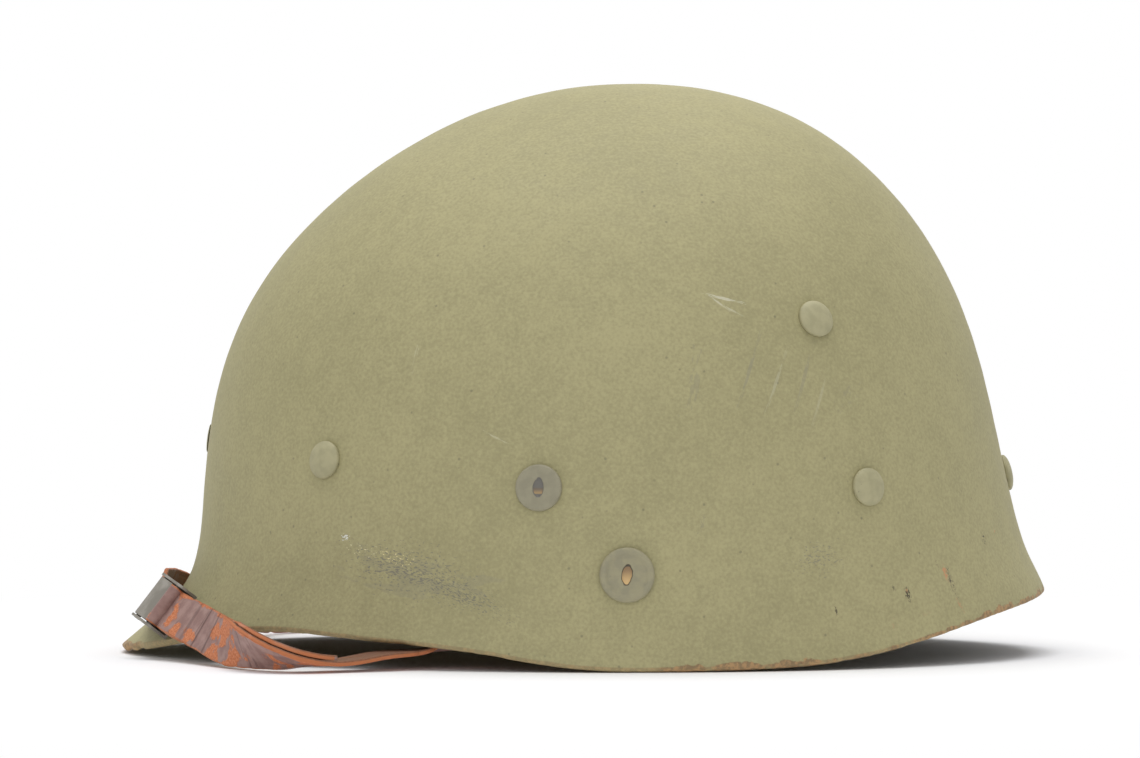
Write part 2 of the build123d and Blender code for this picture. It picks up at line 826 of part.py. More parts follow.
for reach in (strap_clip_reach, strap_rivet_place - strap_width / 2):
    spot = tab_point(reach, strap_depth)
    route.append((spot.X, spot.Y, spot.Z, 0.0))
route_points = np.array(route)
route_run = np.concatenate(
    ([0.0], np.cumsum(np.linalg.norm(np.diff(route_points[:, :3], axis=0), axis=1)))
)


def route_at(run):
    """Centre, direction, width way and outward way of the strap at a run from the front."""
    spot, ahead, behind = [
        np.array([smooth(route_run, route_points[:, k], place) for k in range(3)])
        for place in (run, min(run + run_nudge, route_run[-1]), max(run - run_nudge, 0.0))
    ]
    heading = (ahead - behind) / np.linalg.norm(ahead - behind)
    if run < run_nudge:
        heading = np.array([0.0, -1.0, 0.0])
    level = np.cross(heading, [0.0, 0.0, 1.0])
    level = level / np.linalg.norm(level)
    if level @ [spot[0], spot[1], 0.0] < 0:
        level = -level
    up = np.cross(level, heading)
    up = up if up[2] > 0 else -up
    lean = math.radians(smooth(route_run, route_points[:, 3], run))
    width_way = math.cos(lean) * up + math.sin(lean) * level
    out_way = math.cos(lean) * level - math.sin(lean) * up
    return spot, heading, width_way, out_way


buckle_mid = (route_points[buckle_after_count] + route_points[buckle_after_count + 1]) / 2
buckle_heading = route_points[buckle_after_count + 1, :3] - route_points[buckle_after_count, :3]
buckle_half = np.linalg.norm(buckle_heading) / 2
buckle_heading = buckle_heading / (2 * buckle_half)
buckle_level = np.cross(buckle_heading, [0.0, 0.0, 1.0])
buckle_level = buckle_level / np.linalg.norm(buckle_level)
buckle_level = buckle_level if buckle_level @ [-1.0, -1.0, 0.0] > 0 else -buckle_level
buckle_up = np.cross(buckle_level, buckle_heading)
buckle_up = buckle_up if buckle_up[2] > 0 else -buckle_up
buckle_lean = math.radians(buckle_mid[3])
buckle_out = math.cos(buckle_lean) * buckle_level - math.sin(buckle_lean) * buckle_up
buckle = Plane(origin=tuple(buckle_mid[:3]), x_dir=tuple(buckle_heading), z_dir=tuple(buckle_out))
bar_plane = Plane(buckle.from_local_coords((bar_place, 0, bar_rise)), buckle.x_dir, buckle.y_dir)
pin_plane = Plane(buckle.from_local_coords((pin_place, 0, pin_rise)), buckle.x_dir, buckle.y_dir)
layer = strap_leather + buckle_gap


def strap_frame(run):
    """Frame of the strap at a run, held straight and square inside the buckle."""
    spot, heading, width_way, out_way = route_at(run)
    start, end = route_run[buckle_after_count], route_run[buckle_after_count + 1]
    if start <= run <= end:
        share = (run - start) / (end - start) * 2 - 1
        spot = buckle_mid[:3] + buckle_heading * buckle_half * share
        heading, out_way = buckle_heading, buckle_out
        width_way = math.cos(buckle_lean) * buckle_up + math.sin(buckle_lean) * buckle_level
    if run >= route_run[-2]:
        share = (run - route_run[-2]) / (route_run[-1] - route_run[-2])
        spot = route_points[-2, :3] * (1 - share) + route_points[-1, :3] * share
        heading = (route_points[-1, :3] - route_points[-2, :3]) / (route_run[-1] - route_run[-2])
        out_way = np.array(tuple(stud_left.z_dir))
        width_way = np.cross(heading, out_way)
        width_way = width_way if width_way[2] > 0 else -width_way
    return spot, heading, width_way, out_way


def strap_section(run, shift, mirrored):
    """Rectangular section of the strap, shifted inwards by a share of a layer."""
    spot, heading, width_way, out_way = strap_frame(run)
    spot = spot - out_way * shift
    flip = np.array([1.0, -1.0 if mirrored else 1.0, 1.0])
    corners = [
        spot + width_way * a * strap_width / 2 + out_way * b * strap_leather / 2
        for a, b in ((1, 1), (1, -1), (-1, -1), (-1, 1))
    ]
    return Wire.make_polygon([Vector(*(corner * flip)) for corner in corners], close=True)


def strap_solid(runs, shifts, mirrored):
    """Strap lofted straight from each section to the next."""
    return Solid.make_loft(
        [strap_section(run, shift, mirrored) for run, shift in zip(runs, shifts)], ruled=True
    )


def between(start, end):
    """Runs between two route points, each stretch cut into a few steps."""
    runs = []
    for i in range(start, end):
        runs.extend(np.linspace(route_run[i], route_run[i + 1], route_step_count + 1)[:-1])
    return [*runs, route_run[end]]


last = len(route_run) - 1
buckle_start, buckle_end = route_run[buckle_after_count], route_run[buckle_after_count + 1]
rear_runs = between(buckle_after_count + 1, last)
bar_run = (buckle_start + buckle_end) / 2 + bar_place

with BuildPart() as chinstrap_short:
    add(strap_solid([bar_run, *rear_runs], [0.0] * (len(rear_runs) + 1), False))
    with BuildSketch(bar_plane):
        Circle(bar_radius + 2 * fit + loop_leather)
    extrude(amount=strap_width / 2, both=True)
    with BuildSketch(bar_plane):
        Circle(bar_radius + 2 * fit)
    extrude(amount=strap_width, both=True, mode=Mode.SUBTRACT)
    with BuildSketch(Plane(tab_point(strap_rivet_place, strap_depth), z_dir=stud_left.z_dir)):
        Circle(clip_rivet_radius + fit)
    extrude(amount=strap_leather, both=True, mode=Mode.SUBTRACT)

tail_run = buckle_end + (route_run[-1] - buckle_end) * tail_end_share
tail_runs = [run for run in rear_runs if run < tail_run] + [tail_run]
front_runs = between(0, buckle_after_count)
front_shifts = [layer * min(1.0, run / buckle_start)**2 for run in front_runs]
far_runs = between(0, last)
stud_right = stud_planes["right"]
right_rivet = tab_point(strap_rivet_place, strap_depth)

with BuildPart() as chinstrap_long:
    add(strap_solid([*front_runs, *tail_runs], [*front_shifts, *[layer] * len(tail_runs)], False))
    add(strap_solid(far_runs, [0.0] * len(far_runs), True))
    with BuildSketch(
        Plane(
            Vector(right_rivet.X, -right_rivet.Y, right_rivet.Z),
            z_dir=Vector(stud_left.z_dir.X, -stud_left.z_dir.Y, stud_left.z_dir.Z),
        )
    ):
        Circle(clip_rivet_radius + fit)
    extrude(amount=strap_leather, both=True, mode=Mode.SUBTRACT)

with BuildPart() as strap_clip_left:
    with BuildSketch(stud_left.offset(clip_depth)):
        Circle(strap_clip_radius)
        with Locations(Location((0, 0, 0), (0, 0, tab_turn))):
            with Locations((strap_clip_reach / 2, 0)):
                Rectangle(strap_clip_reach, strap_width - 2 * soft_gap)
            with Locations((strap_rivet_place, 0)):
                Circle(clip_rivet_radius + fit, mode=Mode.SUBTRACT)
        Circle(stud_neck_radius + strap_clip_hole, mode=Mode.SUBTRACT)
    extrude(amount=-strap_clip_sheet)

with BuildPart() as strap_rivet_left:
    rivet_head = strap_depth - strap_leather / 2 - fit
    rivet_foot = Plane(tab_point(strap_rivet_place, 0), z_dir=stud_left.z_dir)
    with BuildSketch(rivet_foot.offset(rivet_head)):
        Circle(clip_rivet_head)
    extrude(amount=-clip_rivet_height)
    with BuildSketch(rivet_foot.offset(rivet_head)):
        Circle(clip_rivet_radius)
    extrude(amount=clip_depth + fit - rivet_head)
    with BuildSketch(rivet_foot.offset(clip_depth + fit)):
        Circle(strap_rivet_spread)
    extrude(amount=clip_rivet_height / 2)

# Buckle
channel_half = strap_width / 2 + buckle_side_gap
buckle_floor = -strap_leather / 2 - layer - buckle_gap - buckle_sheet
with BuildPart() as buckle_frame:
    with BuildSketch(buckle.offset(buckle_floor)) as frame_floor:
        Rectangle(buckle_length, 2 * (channel_half + buckle_sheet))
    extrude(amount=buckle_sheet)
    for way in (1, -1):
        with BuildSketch(buckle.offset(buckle_floor)):
            with Locations((0, way * (channel_half + buckle_sheet / 2))):
                Rectangle(buckle_length, buckle_sheet)
        extrude(amount=buckle_rise - buckle_floor)
    fillet(
        buckle_frame.edges().filter_by(lambda e: abs((e % 0.5).dot(buckle.y_dir)) > 0.99)
        .filter_by(lambda e: buckle.to_local_coords(e @ 0.5).Z > buckle_rise - fit),
        buckle_sheet,
    )
    with BuildSketch(bar_plane):
        Circle(bar_radius)
    extrude(amount=channel_half + buckle_sheet / 2, both=True)
    with BuildSketch(pin_plane):
        Circle(pin_radius + fit)
    extrude(amount=strap_width, both=True, mode=Mode.SUBTRACT)

with BuildPart() as buckle_cam:
    cam_half = channel_half - cam_side_gap
    cam_top = pin_rise + barrel_radius
    lip_low = strap_leather / 2 + cam_lip_gap - layer
    with BuildSketch(pin_plane):
        Circle(barrel_radius)
    extrude(amount=cam_half, both=True)
    with BuildSketch(buckle.offset(cam_top - cam_sheet)):
        with Locations((pin_place + cam_reach / 2, 0)):
            Rectangle(cam_reach, 2 * cam_half)
    extrude(amount=cam_sheet)
    with BuildSketch(buckle.offset(lip_low)):
        with Locations((pin_place + cam_reach - cam_sheet / 2, 0)):
            Rectangle(cam_sheet, 2 * cam_half)
    extrude(amount=cam_top - lip_low)
    with BuildSketch(pin_plane):
        Circle(pin_radius + fit)
    extrude(amount=strap_width, both=True, mode=Mode.SUBTRACT)

with BuildPart() as buckle_pin:
    with BuildSketch(pin_plane):
        Circle(pin_radius)
    extrude(amount=channel_half + buckle_sheet + fit, both=True)

# Write each piece to its own file
pieces = {
    "liner_shell": liner_shell,
    "insignia_eyelet": insignia_eyelet,
    "suspension_band": suspension_band,
    "sweatband": sweatband,
    "sweatband_rivets": sweatband_rivets,
    "size_slider": size_slider,
    "nape_strap": nape_strap,
    "chinstrap_short": chinstrap_short,
    "chinstrap_long": chinstrap_long,
    "strap_clip_left": strap_clip_left,
    "strap_rivet_left": strap_rivet_left,
    "buckle_frame": buckle_frame,
    "buckle_cam": buckle_cam,
    "buckle_pin": buckle_pin,
}
for name, source in (("strap_clip_right", strap_clip_left), ("strap_rivet_right", strap_rivet_left)):
    with BuildPart() as twin:
        mirror(source.part, about=Plane.XZ)
    pieces[name] = twin
for name, holder in washers.items():
    pieces[f"washer_{name}"] = washer_part(holder)
    pieces[f"rivet_{name}"] = rivet_part(holder.wall, flat=name.startswith("side"))
for name, holder in nape_washers.items():
    pieces[f"washer_{name}"] = washer_part(holder)
    pieces[f"rivet_{name}"] = rivet_part(holder.wall, flat=False)
for side, plane in stud_planes.items():
    pieces[f"chinstrap_stud_{side}"] = stud_part(plane)
for name, plane in clip_planes.items():
    pieces[f"band_clip_{name}"] = clip_part(plane)
for name, (first, second, drop) in crown_pairs.items():
    pieces[name] = crown_strap(washers[first], washers[second], drop)

os.makedirs("parts", exist_ok=True)
for name, piece in pieces.items():
    piece.part.label = name
    export_step(piece.part, f"parts/{name}.step")

print("band line", [(round(x, 1), round(z, 1)) for x, z in band_line])
print("washer leans", {name: round(holder.lean, 1) for name, holder in washers.items()})
print("nape leans", {name: round(holder.lean, 1) for name, holder in nape_washers.items()})
print("cam hinge", [round(v, 4) for v in buckle.from_local_coords((pin_place, 0, pin_rise))],
      [round(v, 5) for v in buckle.y_dir])
print("slider axis", round(slider_x, 3), "radius", round(slider_radius, 2))
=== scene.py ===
"""Looks of the fibre helmet liner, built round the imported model.

Sizes are millimetres in the code and metres in the meshes. The visor looks along -X, the wearer's
left is -Y and +Z is up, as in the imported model.
"""
import json
import logging
import math
from dataclasses import dataclass, field
from enum import Enum

import bpy
import numpy as np
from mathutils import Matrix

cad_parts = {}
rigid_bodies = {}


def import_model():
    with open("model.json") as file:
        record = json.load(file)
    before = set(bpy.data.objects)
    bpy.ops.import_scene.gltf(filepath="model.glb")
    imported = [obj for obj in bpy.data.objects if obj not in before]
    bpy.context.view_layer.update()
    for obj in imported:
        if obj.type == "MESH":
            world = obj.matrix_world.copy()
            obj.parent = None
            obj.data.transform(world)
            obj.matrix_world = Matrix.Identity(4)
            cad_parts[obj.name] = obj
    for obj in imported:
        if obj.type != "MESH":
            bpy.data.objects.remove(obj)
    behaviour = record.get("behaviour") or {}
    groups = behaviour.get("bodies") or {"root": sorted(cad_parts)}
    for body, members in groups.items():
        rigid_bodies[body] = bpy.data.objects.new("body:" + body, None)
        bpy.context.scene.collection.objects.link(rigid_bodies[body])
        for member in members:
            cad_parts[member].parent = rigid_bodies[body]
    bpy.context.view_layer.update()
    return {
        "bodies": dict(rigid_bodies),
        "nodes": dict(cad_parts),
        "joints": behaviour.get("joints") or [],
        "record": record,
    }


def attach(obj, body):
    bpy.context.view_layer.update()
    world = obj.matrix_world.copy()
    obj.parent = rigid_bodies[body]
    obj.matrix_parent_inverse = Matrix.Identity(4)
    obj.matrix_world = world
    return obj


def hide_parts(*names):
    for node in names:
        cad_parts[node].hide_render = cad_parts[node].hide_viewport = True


MM = 0.001
LOG = logging.getLogger("liner")
PHOTO_WIDTH, PHOTO_HEIGHT = 1140, 758

# Places on the dome: degrees from the rear, and the share of the dome's height
RIVETS = {"front": (132.9, 0.344), "side": (100.5, 0.301), "rear": (58.7, 0.579), "nape": (53.1, 0.300)}
NAPE_REAR = (0.0, 0.314)
STUD = (88.6, 0.159)
EYELET = (180.0, 0.375)
SIDES = {"left": -1, "right": 1}

# Heights over the outside of the wall, and the wall itself
WALL = 2.4
HEAD_LIFT = 0.06
INNER_FACE = -3.1


class Slot(Enum):
    """Material slots of the record."""

    FIBRE = "painted_fibre"
    FITTING = "painted_steel"
    STEEL = "bare_steel"
    WEB = "olive_web"
    STRAP = "brown_leather"
    SWEATBAND = "sweat_leather"
    BUCKLE = "buckle_steel"
    EYELET = "eyelet_brass"


def linear(code: str) -> tuple[float, float, float, float]:
    """Turn a six-figure sRGB hex colour into linear light.

    Args:
        code: The colour, such as "A39D78".

    Returns:
        Red, green, blue and an alpha of one.
    """
    parts = np.array([int(code[i:i + 2], 16) for i in (0, 2, 4)]) / 255
    bright = ((parts + 0.055) / 1.055) ** 2.4
    return (*np.where(parts <= 0.04045, parts / 12.92, bright).tolist(), 1.0)


def add_node(
    tree: bpy.types.NodeTree, kind: str, inputs: dict | None = None, **settings: object
) -> bpy.types.Node:
    """Add a node with its settings, fixed values and links.

    Args:
        tree: The material's node tree.
        kind: The node's type.
        inputs: Socket name or number, and the value or the socket that feeds it.
        settings: Properties of the node.

    Returns:
        The node.
    """
    node = tree.nodes.new(kind)
    for name, value in settings.items():
        setattr(node, name, value)
    for key, value in (inputs or {}).items():
        if isinstance(value, bpy.types.NodeSocket):
            tree.links.new(value, node.inputs[key])
        else:
            node.inputs[key].default_value = value
    return node


def unit(vectors: np.ndarray) -> np.ndarray:
    """Scale vectors to length one along the last axis.

    Args:
        vectors: Vectors along the last axis.

    Returns:
        The scaled vectors.
    """
    return vectors / np.linalg.norm(vectors, axis=-1, keepdims=True)


def ripple(points: np.ndarray, length: float, seed: int, count: int = 9) -> np.ndarray:
    """Smooth irregular wave: a sum of plane waves in seeded random directions.

    Args:
        points: Places, in millimetres.
        length: Mean wave length, in millimetres.
        seed: Seed of the directions and phases.
        count: Number of waves.

    Returns:
        A value of about -1 to 1 for each place.
    """
    draw = np.random.default_rng(seed)
    ways = unit(draw.normal(size=(count, 3))) * draw.uniform(0.6, 1.6, (count, 1)) / length
    phase = draw.uniform(0, 2 * math.pi, count)
    waves = np.sin(2 * math.pi * points @ ways.T + phase)
    return waves.sum(-1) / math.sqrt(2 * count)


def soft_step(low: float, high: float, value: np.ndarray) -> np.ndarray:
    """Smooth step: 3t^2 - 2t^3, where t runs from 0 at low to 1 at high.

    Args:
        low: Value where the step starts.
        high: Value where it ends.
        value: Values to weigh.

    Returns:
        Weights from 0 to 1.
    """
    t = np.clip((value - low) / (high - low), 0, 1)
    return t * t * (3 - 2 * t)


class NaturalCurve:
    """Natural cubic curve through given knots."""

    def __init__(self, knots: np.ndarray, values: np.ndarray) -> None:
        """Solve the curve's bends, which are nil at both ends.

        Args:
            knots: Rising places of the knots.
            values: One row of values for each knot.
        """
        self.knots = np.asarray(knots, float)
        self.values = np.asarray(values, float).reshape(len(self.knots), -1)
        gap = np.diff(self.knots)
        count = len(self.knots)
        system = np.eye(count)
        right = np.zeros_like(self.values)
        inner = np.arange(1, count - 1)
        system[inner, inner - 1] = gap[:-1]
        system[inner, inner] = 2 * (gap[:-1] + gap[1:])
        system[inner, inner + 1] = gap[1:]
        slopes = np.diff(self.values, axis=0) / gap[:, None]
        right[inner] = 6 * np.diff(slopes, axis=0)
        self.bend = np.linalg.solve(system, right)
        self.gap = gap

    def __call__(self, at: np.ndarray) -> np.ndarray:
        """Values of the curve at an array of places.

        Args:
            at: Places of any shape.

        Returns:
            Values, with the knots' row as the last axis.
        """
        at = np.asarray(at, float)
        i = np.clip(np.searchsorted(self.knots, at) - 1, 0, len(self.gap) - 1)
        gap = self.gap[i][..., None]
        before = (self.knots[i + 1] - at)[..., None]
        after = (at - self.knots[i])[..., None]
        curved = (self.bend[i] * before**3 + self.bend[i + 1] * after**3) / (6 * gap)
        near = (self.values[i] / gap - self.bend[i] * gap / 6) * before
        far = (self.values[i + 1] / gap - self.bend[i + 1] * gap / 6) * after
        return curved + near + far


def grid_mesh(
    name: str,
    points: np.ndarray,
    start: np.ndarray | None = None,
    end: np.ndarray | None = None,
    notes: dict[str, np.ndarray] | None = None,
    ring: bool = False,
) -> bpy.types.Mesh:
    """Make a mesh of a grid of points whose columns close round.

    Each row is joined to the next by quads. A pole closes the first or the last row by a fan,
    and ring joins the last row to the first.

    Args:
        name: Name of the mesh.
        points: Rows by columns by three, in millimetres.
        start: Pole before the first row.
        end: Pole after the last row.
        notes: Named values for each point, poles included, in metres.
        ring: Whether the rows close round as well.

    Returns:
        The mesh, smooth, in metres.
    """
    rows, columns = points.shape[:2]
    number = np.arange(rows * columns).reshape(rows, columns)
    ordered = np.vstack([number, number[:1]]) if ring else number
    beside = np.roll(ordered, -1, axis=1)
    faces = np.stack([ordered[:-1], ordered[1:], beside[1:], beside[:-1]], -1).reshape(-1, 4).tolist()
    places = [points.reshape(-1, 3)]
    for pole, row, flip in ((start, 0, False), (end, rows - 1, True)):
        if pole is None:
            continue
        centre = sum(len(part) for part in places)
        places.append(np.asarray(pole, float).reshape(1, 3))
        first, second = number[row], np.roll(number[row], -1)
        if flip:
            first, second = second, first
        faces += np.stack([np.full(columns, centre), first, second], -1).tolist()
    mesh = bpy.data.meshes.new(name)
    mesh.from_pydata((np.vstack(places) * MM).tolist(), [], faces)
    for label, values in (notes or {}).items():
        values = np.asarray(values, np.float32)
        vector = values.ndim > 1
        layer = mesh.attributes.new(label, "FLOAT_VECTOR" if vector else "FLOAT", "POINT")
        layer.data.foreach_set("vector" if vector else "value", values.ravel())
    mesh.polygons.foreach_set("use_smooth", np.ones(len(mesh.polygons), bool))
    mesh.validate()
    return mesh


def add_piece(
    name: str,
    mesh: bpy.types.Mesh,
    material: bpy.types.Material,
    replaces: tuple[str, ...],
    body: str = "root",
) -> bpy.types.Object:
    """Put a finished mesh in the scene as a piece of the liner.

    Args:
        name: Name of the piece.
        mesh: Its mesh, in place.
        material: Its finish.
        replaces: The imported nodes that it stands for.
        body: The body that it moves with.

    Returns:
        The object.
    """
    piece = bpy.data.objects.new(name, mesh)
    bpy.context.scene.collection.objects.link(piece)
    mesh.materials.append(material)
    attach(piece, body)
    if replaces:
        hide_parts(*replaces)
    LOG.info("%s: %d faces", name, len(mesh.polygons))
    return piece


@dataclass(frozen=True)
class Finish:
    """A material: its name and the nodes that feed its shader."""

    name: str

    def material(self) -> bpy.types.Material:
        """Make the material."""
        made = bpy.data.materials.new(self.name)
        made.use_nodes = True
        tree = made.node_tree
        tree.nodes.clear()
        shader = add_node(tree, "ShaderNodeBsdfPrincipled")
        add_node(tree, "ShaderNodeOutputMaterial", {"Surface": shader.outputs[0]})
        self.dress(tree, shader)
        return made

    def dress(self, tree: bpy.types.NodeTree, shader: bpy.types.Node) -> None:
        """Feed the shader; each finish says how."""
        raise NotImplementedError

    @staticmethod
    def feed(tree: bpy.types.NodeTree, shader: bpy.types.Node, **sockets: object) -> None:
        """Set or link the shader's sockets.

        Args:
            tree: The material's node tree.
            shader: The shader node.
            sockets: Socket names with _ for a space, and a value or a socket.
        """
        for key, value in sockets.items():
            socket = shader.inputs[key.replace("_", " ")]
            if isinstance(value, bpy.types.NodeSocket):
                tree.links.new(value, socket)
            else:
                socket.default_value = value

    @staticmethod
    def noise(
        tree: bpy.types.NodeTree, place: bpy.types.NodeSocket, size: float, detail: float = 3.0
    ) -> bpy.types.NodeSocket:
        """Noise whose features are about size millimetres across.

        Args:
            tree: Node tree that the nodes are added to.
            place: Position that the noise is read at.
            size: Size of its features, in millimetres.
            detail: Number of finer layers.

        Returns:
            The noise, from 0 to 1.
        """
        node = add_node(
            tree, "ShaderNodeTexNoise", {"Vector": place, "Scale": 1 / (size * MM), "Detail": detail}
        )
        return node.outputs["Fac"]

    @staticmethod
    def step(
        tree: bpy.types.NodeTree, value: bpy.types.NodeSocket, low: float, high: float
    ) -> bpy.types.NodeSocket:
        """Smooth step of a value, from 0 at low to 1 at high.

        Args:
            tree: Node tree that the nodes are added to.
            value: Socket to weigh.
            low: Value where the step starts.
            high: Value where it ends.

        Returns:
            The weight, from 0 to 1.
        """
        node = add_node(
            tree,
            "ShaderNodeMapRange",
            {"Value": value, "From Min": low, "From Max": high},
            interpolation_type="SMOOTHSTEP",
        )
        return node.outputs["Result"]

    @staticmethod
    def math(
        tree: bpy.types.NodeTree, operation: str, first: object, second: object = 0.0, third: object = 0.0
    ) -> bpy.types.NodeSocket:
        """One sum on up to three values or sockets.

        Args:
            tree: Node tree that the nodes are added to.
            operation: Name of the sum.
            first: First value.
            second: Second value.
            third: Third value, for sums that take it.

        Returns:
            The result.
        """
        node = add_node(
            tree, "ShaderNodeMath", {0: first, 1: second, 2: third}, operation=operation
        )
        return node.outputs[0]

    @staticmethod
    def blend(
        tree: bpy.types.NodeTree, share: object, first: object, second: object
    ) -> bpy.types.NodeSocket:
        """Mix two colours, given as hex figures or sockets, by a share.

        Args:
            tree: Node tree that the nodes are added to.
            share: Share of the second colour.
            first: First colour.
            second: Second colour.

        Returns:
            The mixed colour.
        """
        colours = [linear(c) if isinstance(c, str) else c for c in (first, second)]
        node = add_node(
            tree, "ShaderNodeMixRGB", {"Fac": share, "Color1": colours[0], "Color2": colours[1]}
        )
        return node.outputs["Color"]

    @staticmethod
    def bump(
        tree: bpy.types.NodeTree, height: bpy.types.NodeSocket, depth: float, strength: float = 1.0
    ) -> bpy.types.NodeSocket:
        """Bump of a height, whose full range is depth millimetres.

        Args:
            tree: Node tree that the nodes are added to.
            height: Height, from 0 to 1.
            depth: Full range in millimetres.
            strength: Strength of the effect.

        Returns:
            The bent normal.
        """
        node = add_node(
            tree, "ShaderNodeBump", {"Height": height, "Distance": depth * MM, "Strength": strength}
        )
        return node.outputs["Normal"]


@dataclass(frozen=True)
class Mark:
    """A scuff on the left side: an ellipse in which noise breaks the paint's colour.

    Places and sizes are millimetres seen from the left, grain is how many specks lie along it.
    """

    x: float
    z: float
    long: float
    short: float
    tilt: float
    colour: str
    cover: float
    grain: float = 3.0
    strength: float = 0.8


MARKS = (
    Mark(-45.0, 27.0, 30.0, 10.0, -10.0, "8D8971", 0.41, 3.0, 0.35),
    Mark(-50.0, 28.0, 34.0, 13.0, -10.0, "716E66", 0.34, 34.0, 0.75),
    Mark(-33.0, 21.0, 26.0, 7.0, -22.0, "706E64", 0.34, 30.0, 0.75),
    Mark(-62.0, 33.0, 9.0, 5.0, 0.0, "E3D9B2", 0.29, 11.0, 0.95),
    Mark(-52.0, 31.0, 14.0, 6.0, -14.0, "E6D7A4", 0.27, 16.0, 0.95),
    Mark(-66.5, 36.8, 1.3, 1.1, 20.0, "DADBD4", 0.49, 2.4, 0.90),
    Mark(39.7, 103.6, 5.2, 0.5, -14.0, "CFCCB8", 0.53, 2.2, 0.62),
    Mark(38.2, 102.3, 3.6, 0.3, -38.0, "CAC6AE", 0.53, 2.0, 0.55),
    Mark(42.0, 100.2, 3.0, 0.3, -30.0, "C6C2A8", 0.53, 2.0, 0.50),
    Mark(46.5, 84.0, 11.0, 0.7, 72.0, "858373", 0.49, 2.4, 0.42),
    Mark(54.0, 80.5, 9.5, 0.6, 70.0, "B7B39A", 0.49, 2.4, 0.42),
    Mark(62.0, 82.0, 11.5, 0.7, 74.0, "8B8876", 0.49, 2.4, 0.38),
    Mark(66.5, 76.0, 10.5, 0.5, 73.0, "B6B196", 0.49, 2.4, 0.38),
    Mark(30.5, 80.5, 14.0, 4.4, 82.0, "86836E", 0.37, 5.0, 0.34),
    Mark(75.0, 77.0, 10.0, 5.0, 62.0, "8D8973", 0.37, 5.0, 0.30),
    Mark(-46.8, 88.0, 7.0, 1.1, 76.0, "BDB79A", 0.41, 3.0, 0.42),
    Mark(-24.0, 64.8, 4.0, 0.4, -28.0, "C2BC9F", 0.49, 2.4, 0.50),
    Mark(33.0, 41.0, 4.5, 1.5, 70.0, "807D69", 0.37, 4.0, 0.40),
    Mark(66.0, 31.0, 16.0, 9.0, 10.0, "7A776A", 0.32, 22.0, 0.65),
    Mark(91.5, 20.6, 2.7, 0.8, 107.0, "3B342E", 0.51, 3.4, 0.90),
    Mark(91.1, 21.6, 0.7, 0.4, 107.0, "B07F5A", 0.51, 2.0, 0.80),
    Mark(87.2, 22.4, 0.9, 0.4, 115.0, "3B342E", 0.51, 2.4, 0.80),
    Mark(70.6, 16.4, 1.3, 0.4, 98.0, "4A4036", 0.51, 2.2, 0.80),
    Mark(104.6, 23.8, 5.8, 0.9, 110.0, "4C423A", 0.46, 9.0, 0.95),
    Mark(102.8, 26.2, 2.4, 0.6, 107.0, "C08A63", 0.57, 2.0, 0.90),
    Mark(107.1, 17.0, 2.8, 0.4, 122.0, "BB8B64", 0.51, 3.0, 0.80),
    Mark(100.4, 28.6, 3.3, 0.5, 110.0, "5B4A3C", 0.39, 7.0, 0.90),
    Mark(106.1, 30.4, 3.3, 0.5, 108.0, "5B4A3C", 0.39, 7.0, 0.90),
    Mark(115.5, 34.8, 2.8, 0.9, 98.0, "37312C", 0.49, 4.0, 0.90),
    Mark(119.3, 37.2, 1.8, 0.4, 101.0, "C98A63", 0.51, 2.0, 0.70),
    Mark(122.0, 35.6, 6.0, 1.8, 105.0, "B5AB98", 0.37, 4.0, 0.45),
    Mark(123.5, 19.5, 8.0, 3.6, 62.0, "B39270", 0.37, 4.0, 0.42),
    Mark(87.5, 11.7, 5.0, 2.2, 100.0, "AF926D", 0.35, 5.0, 0.45),
    Mark(97.0, 14.0, 7.0, 3.5, 20.0, "A9936F", 0.33, 4.0, 0.30),
)


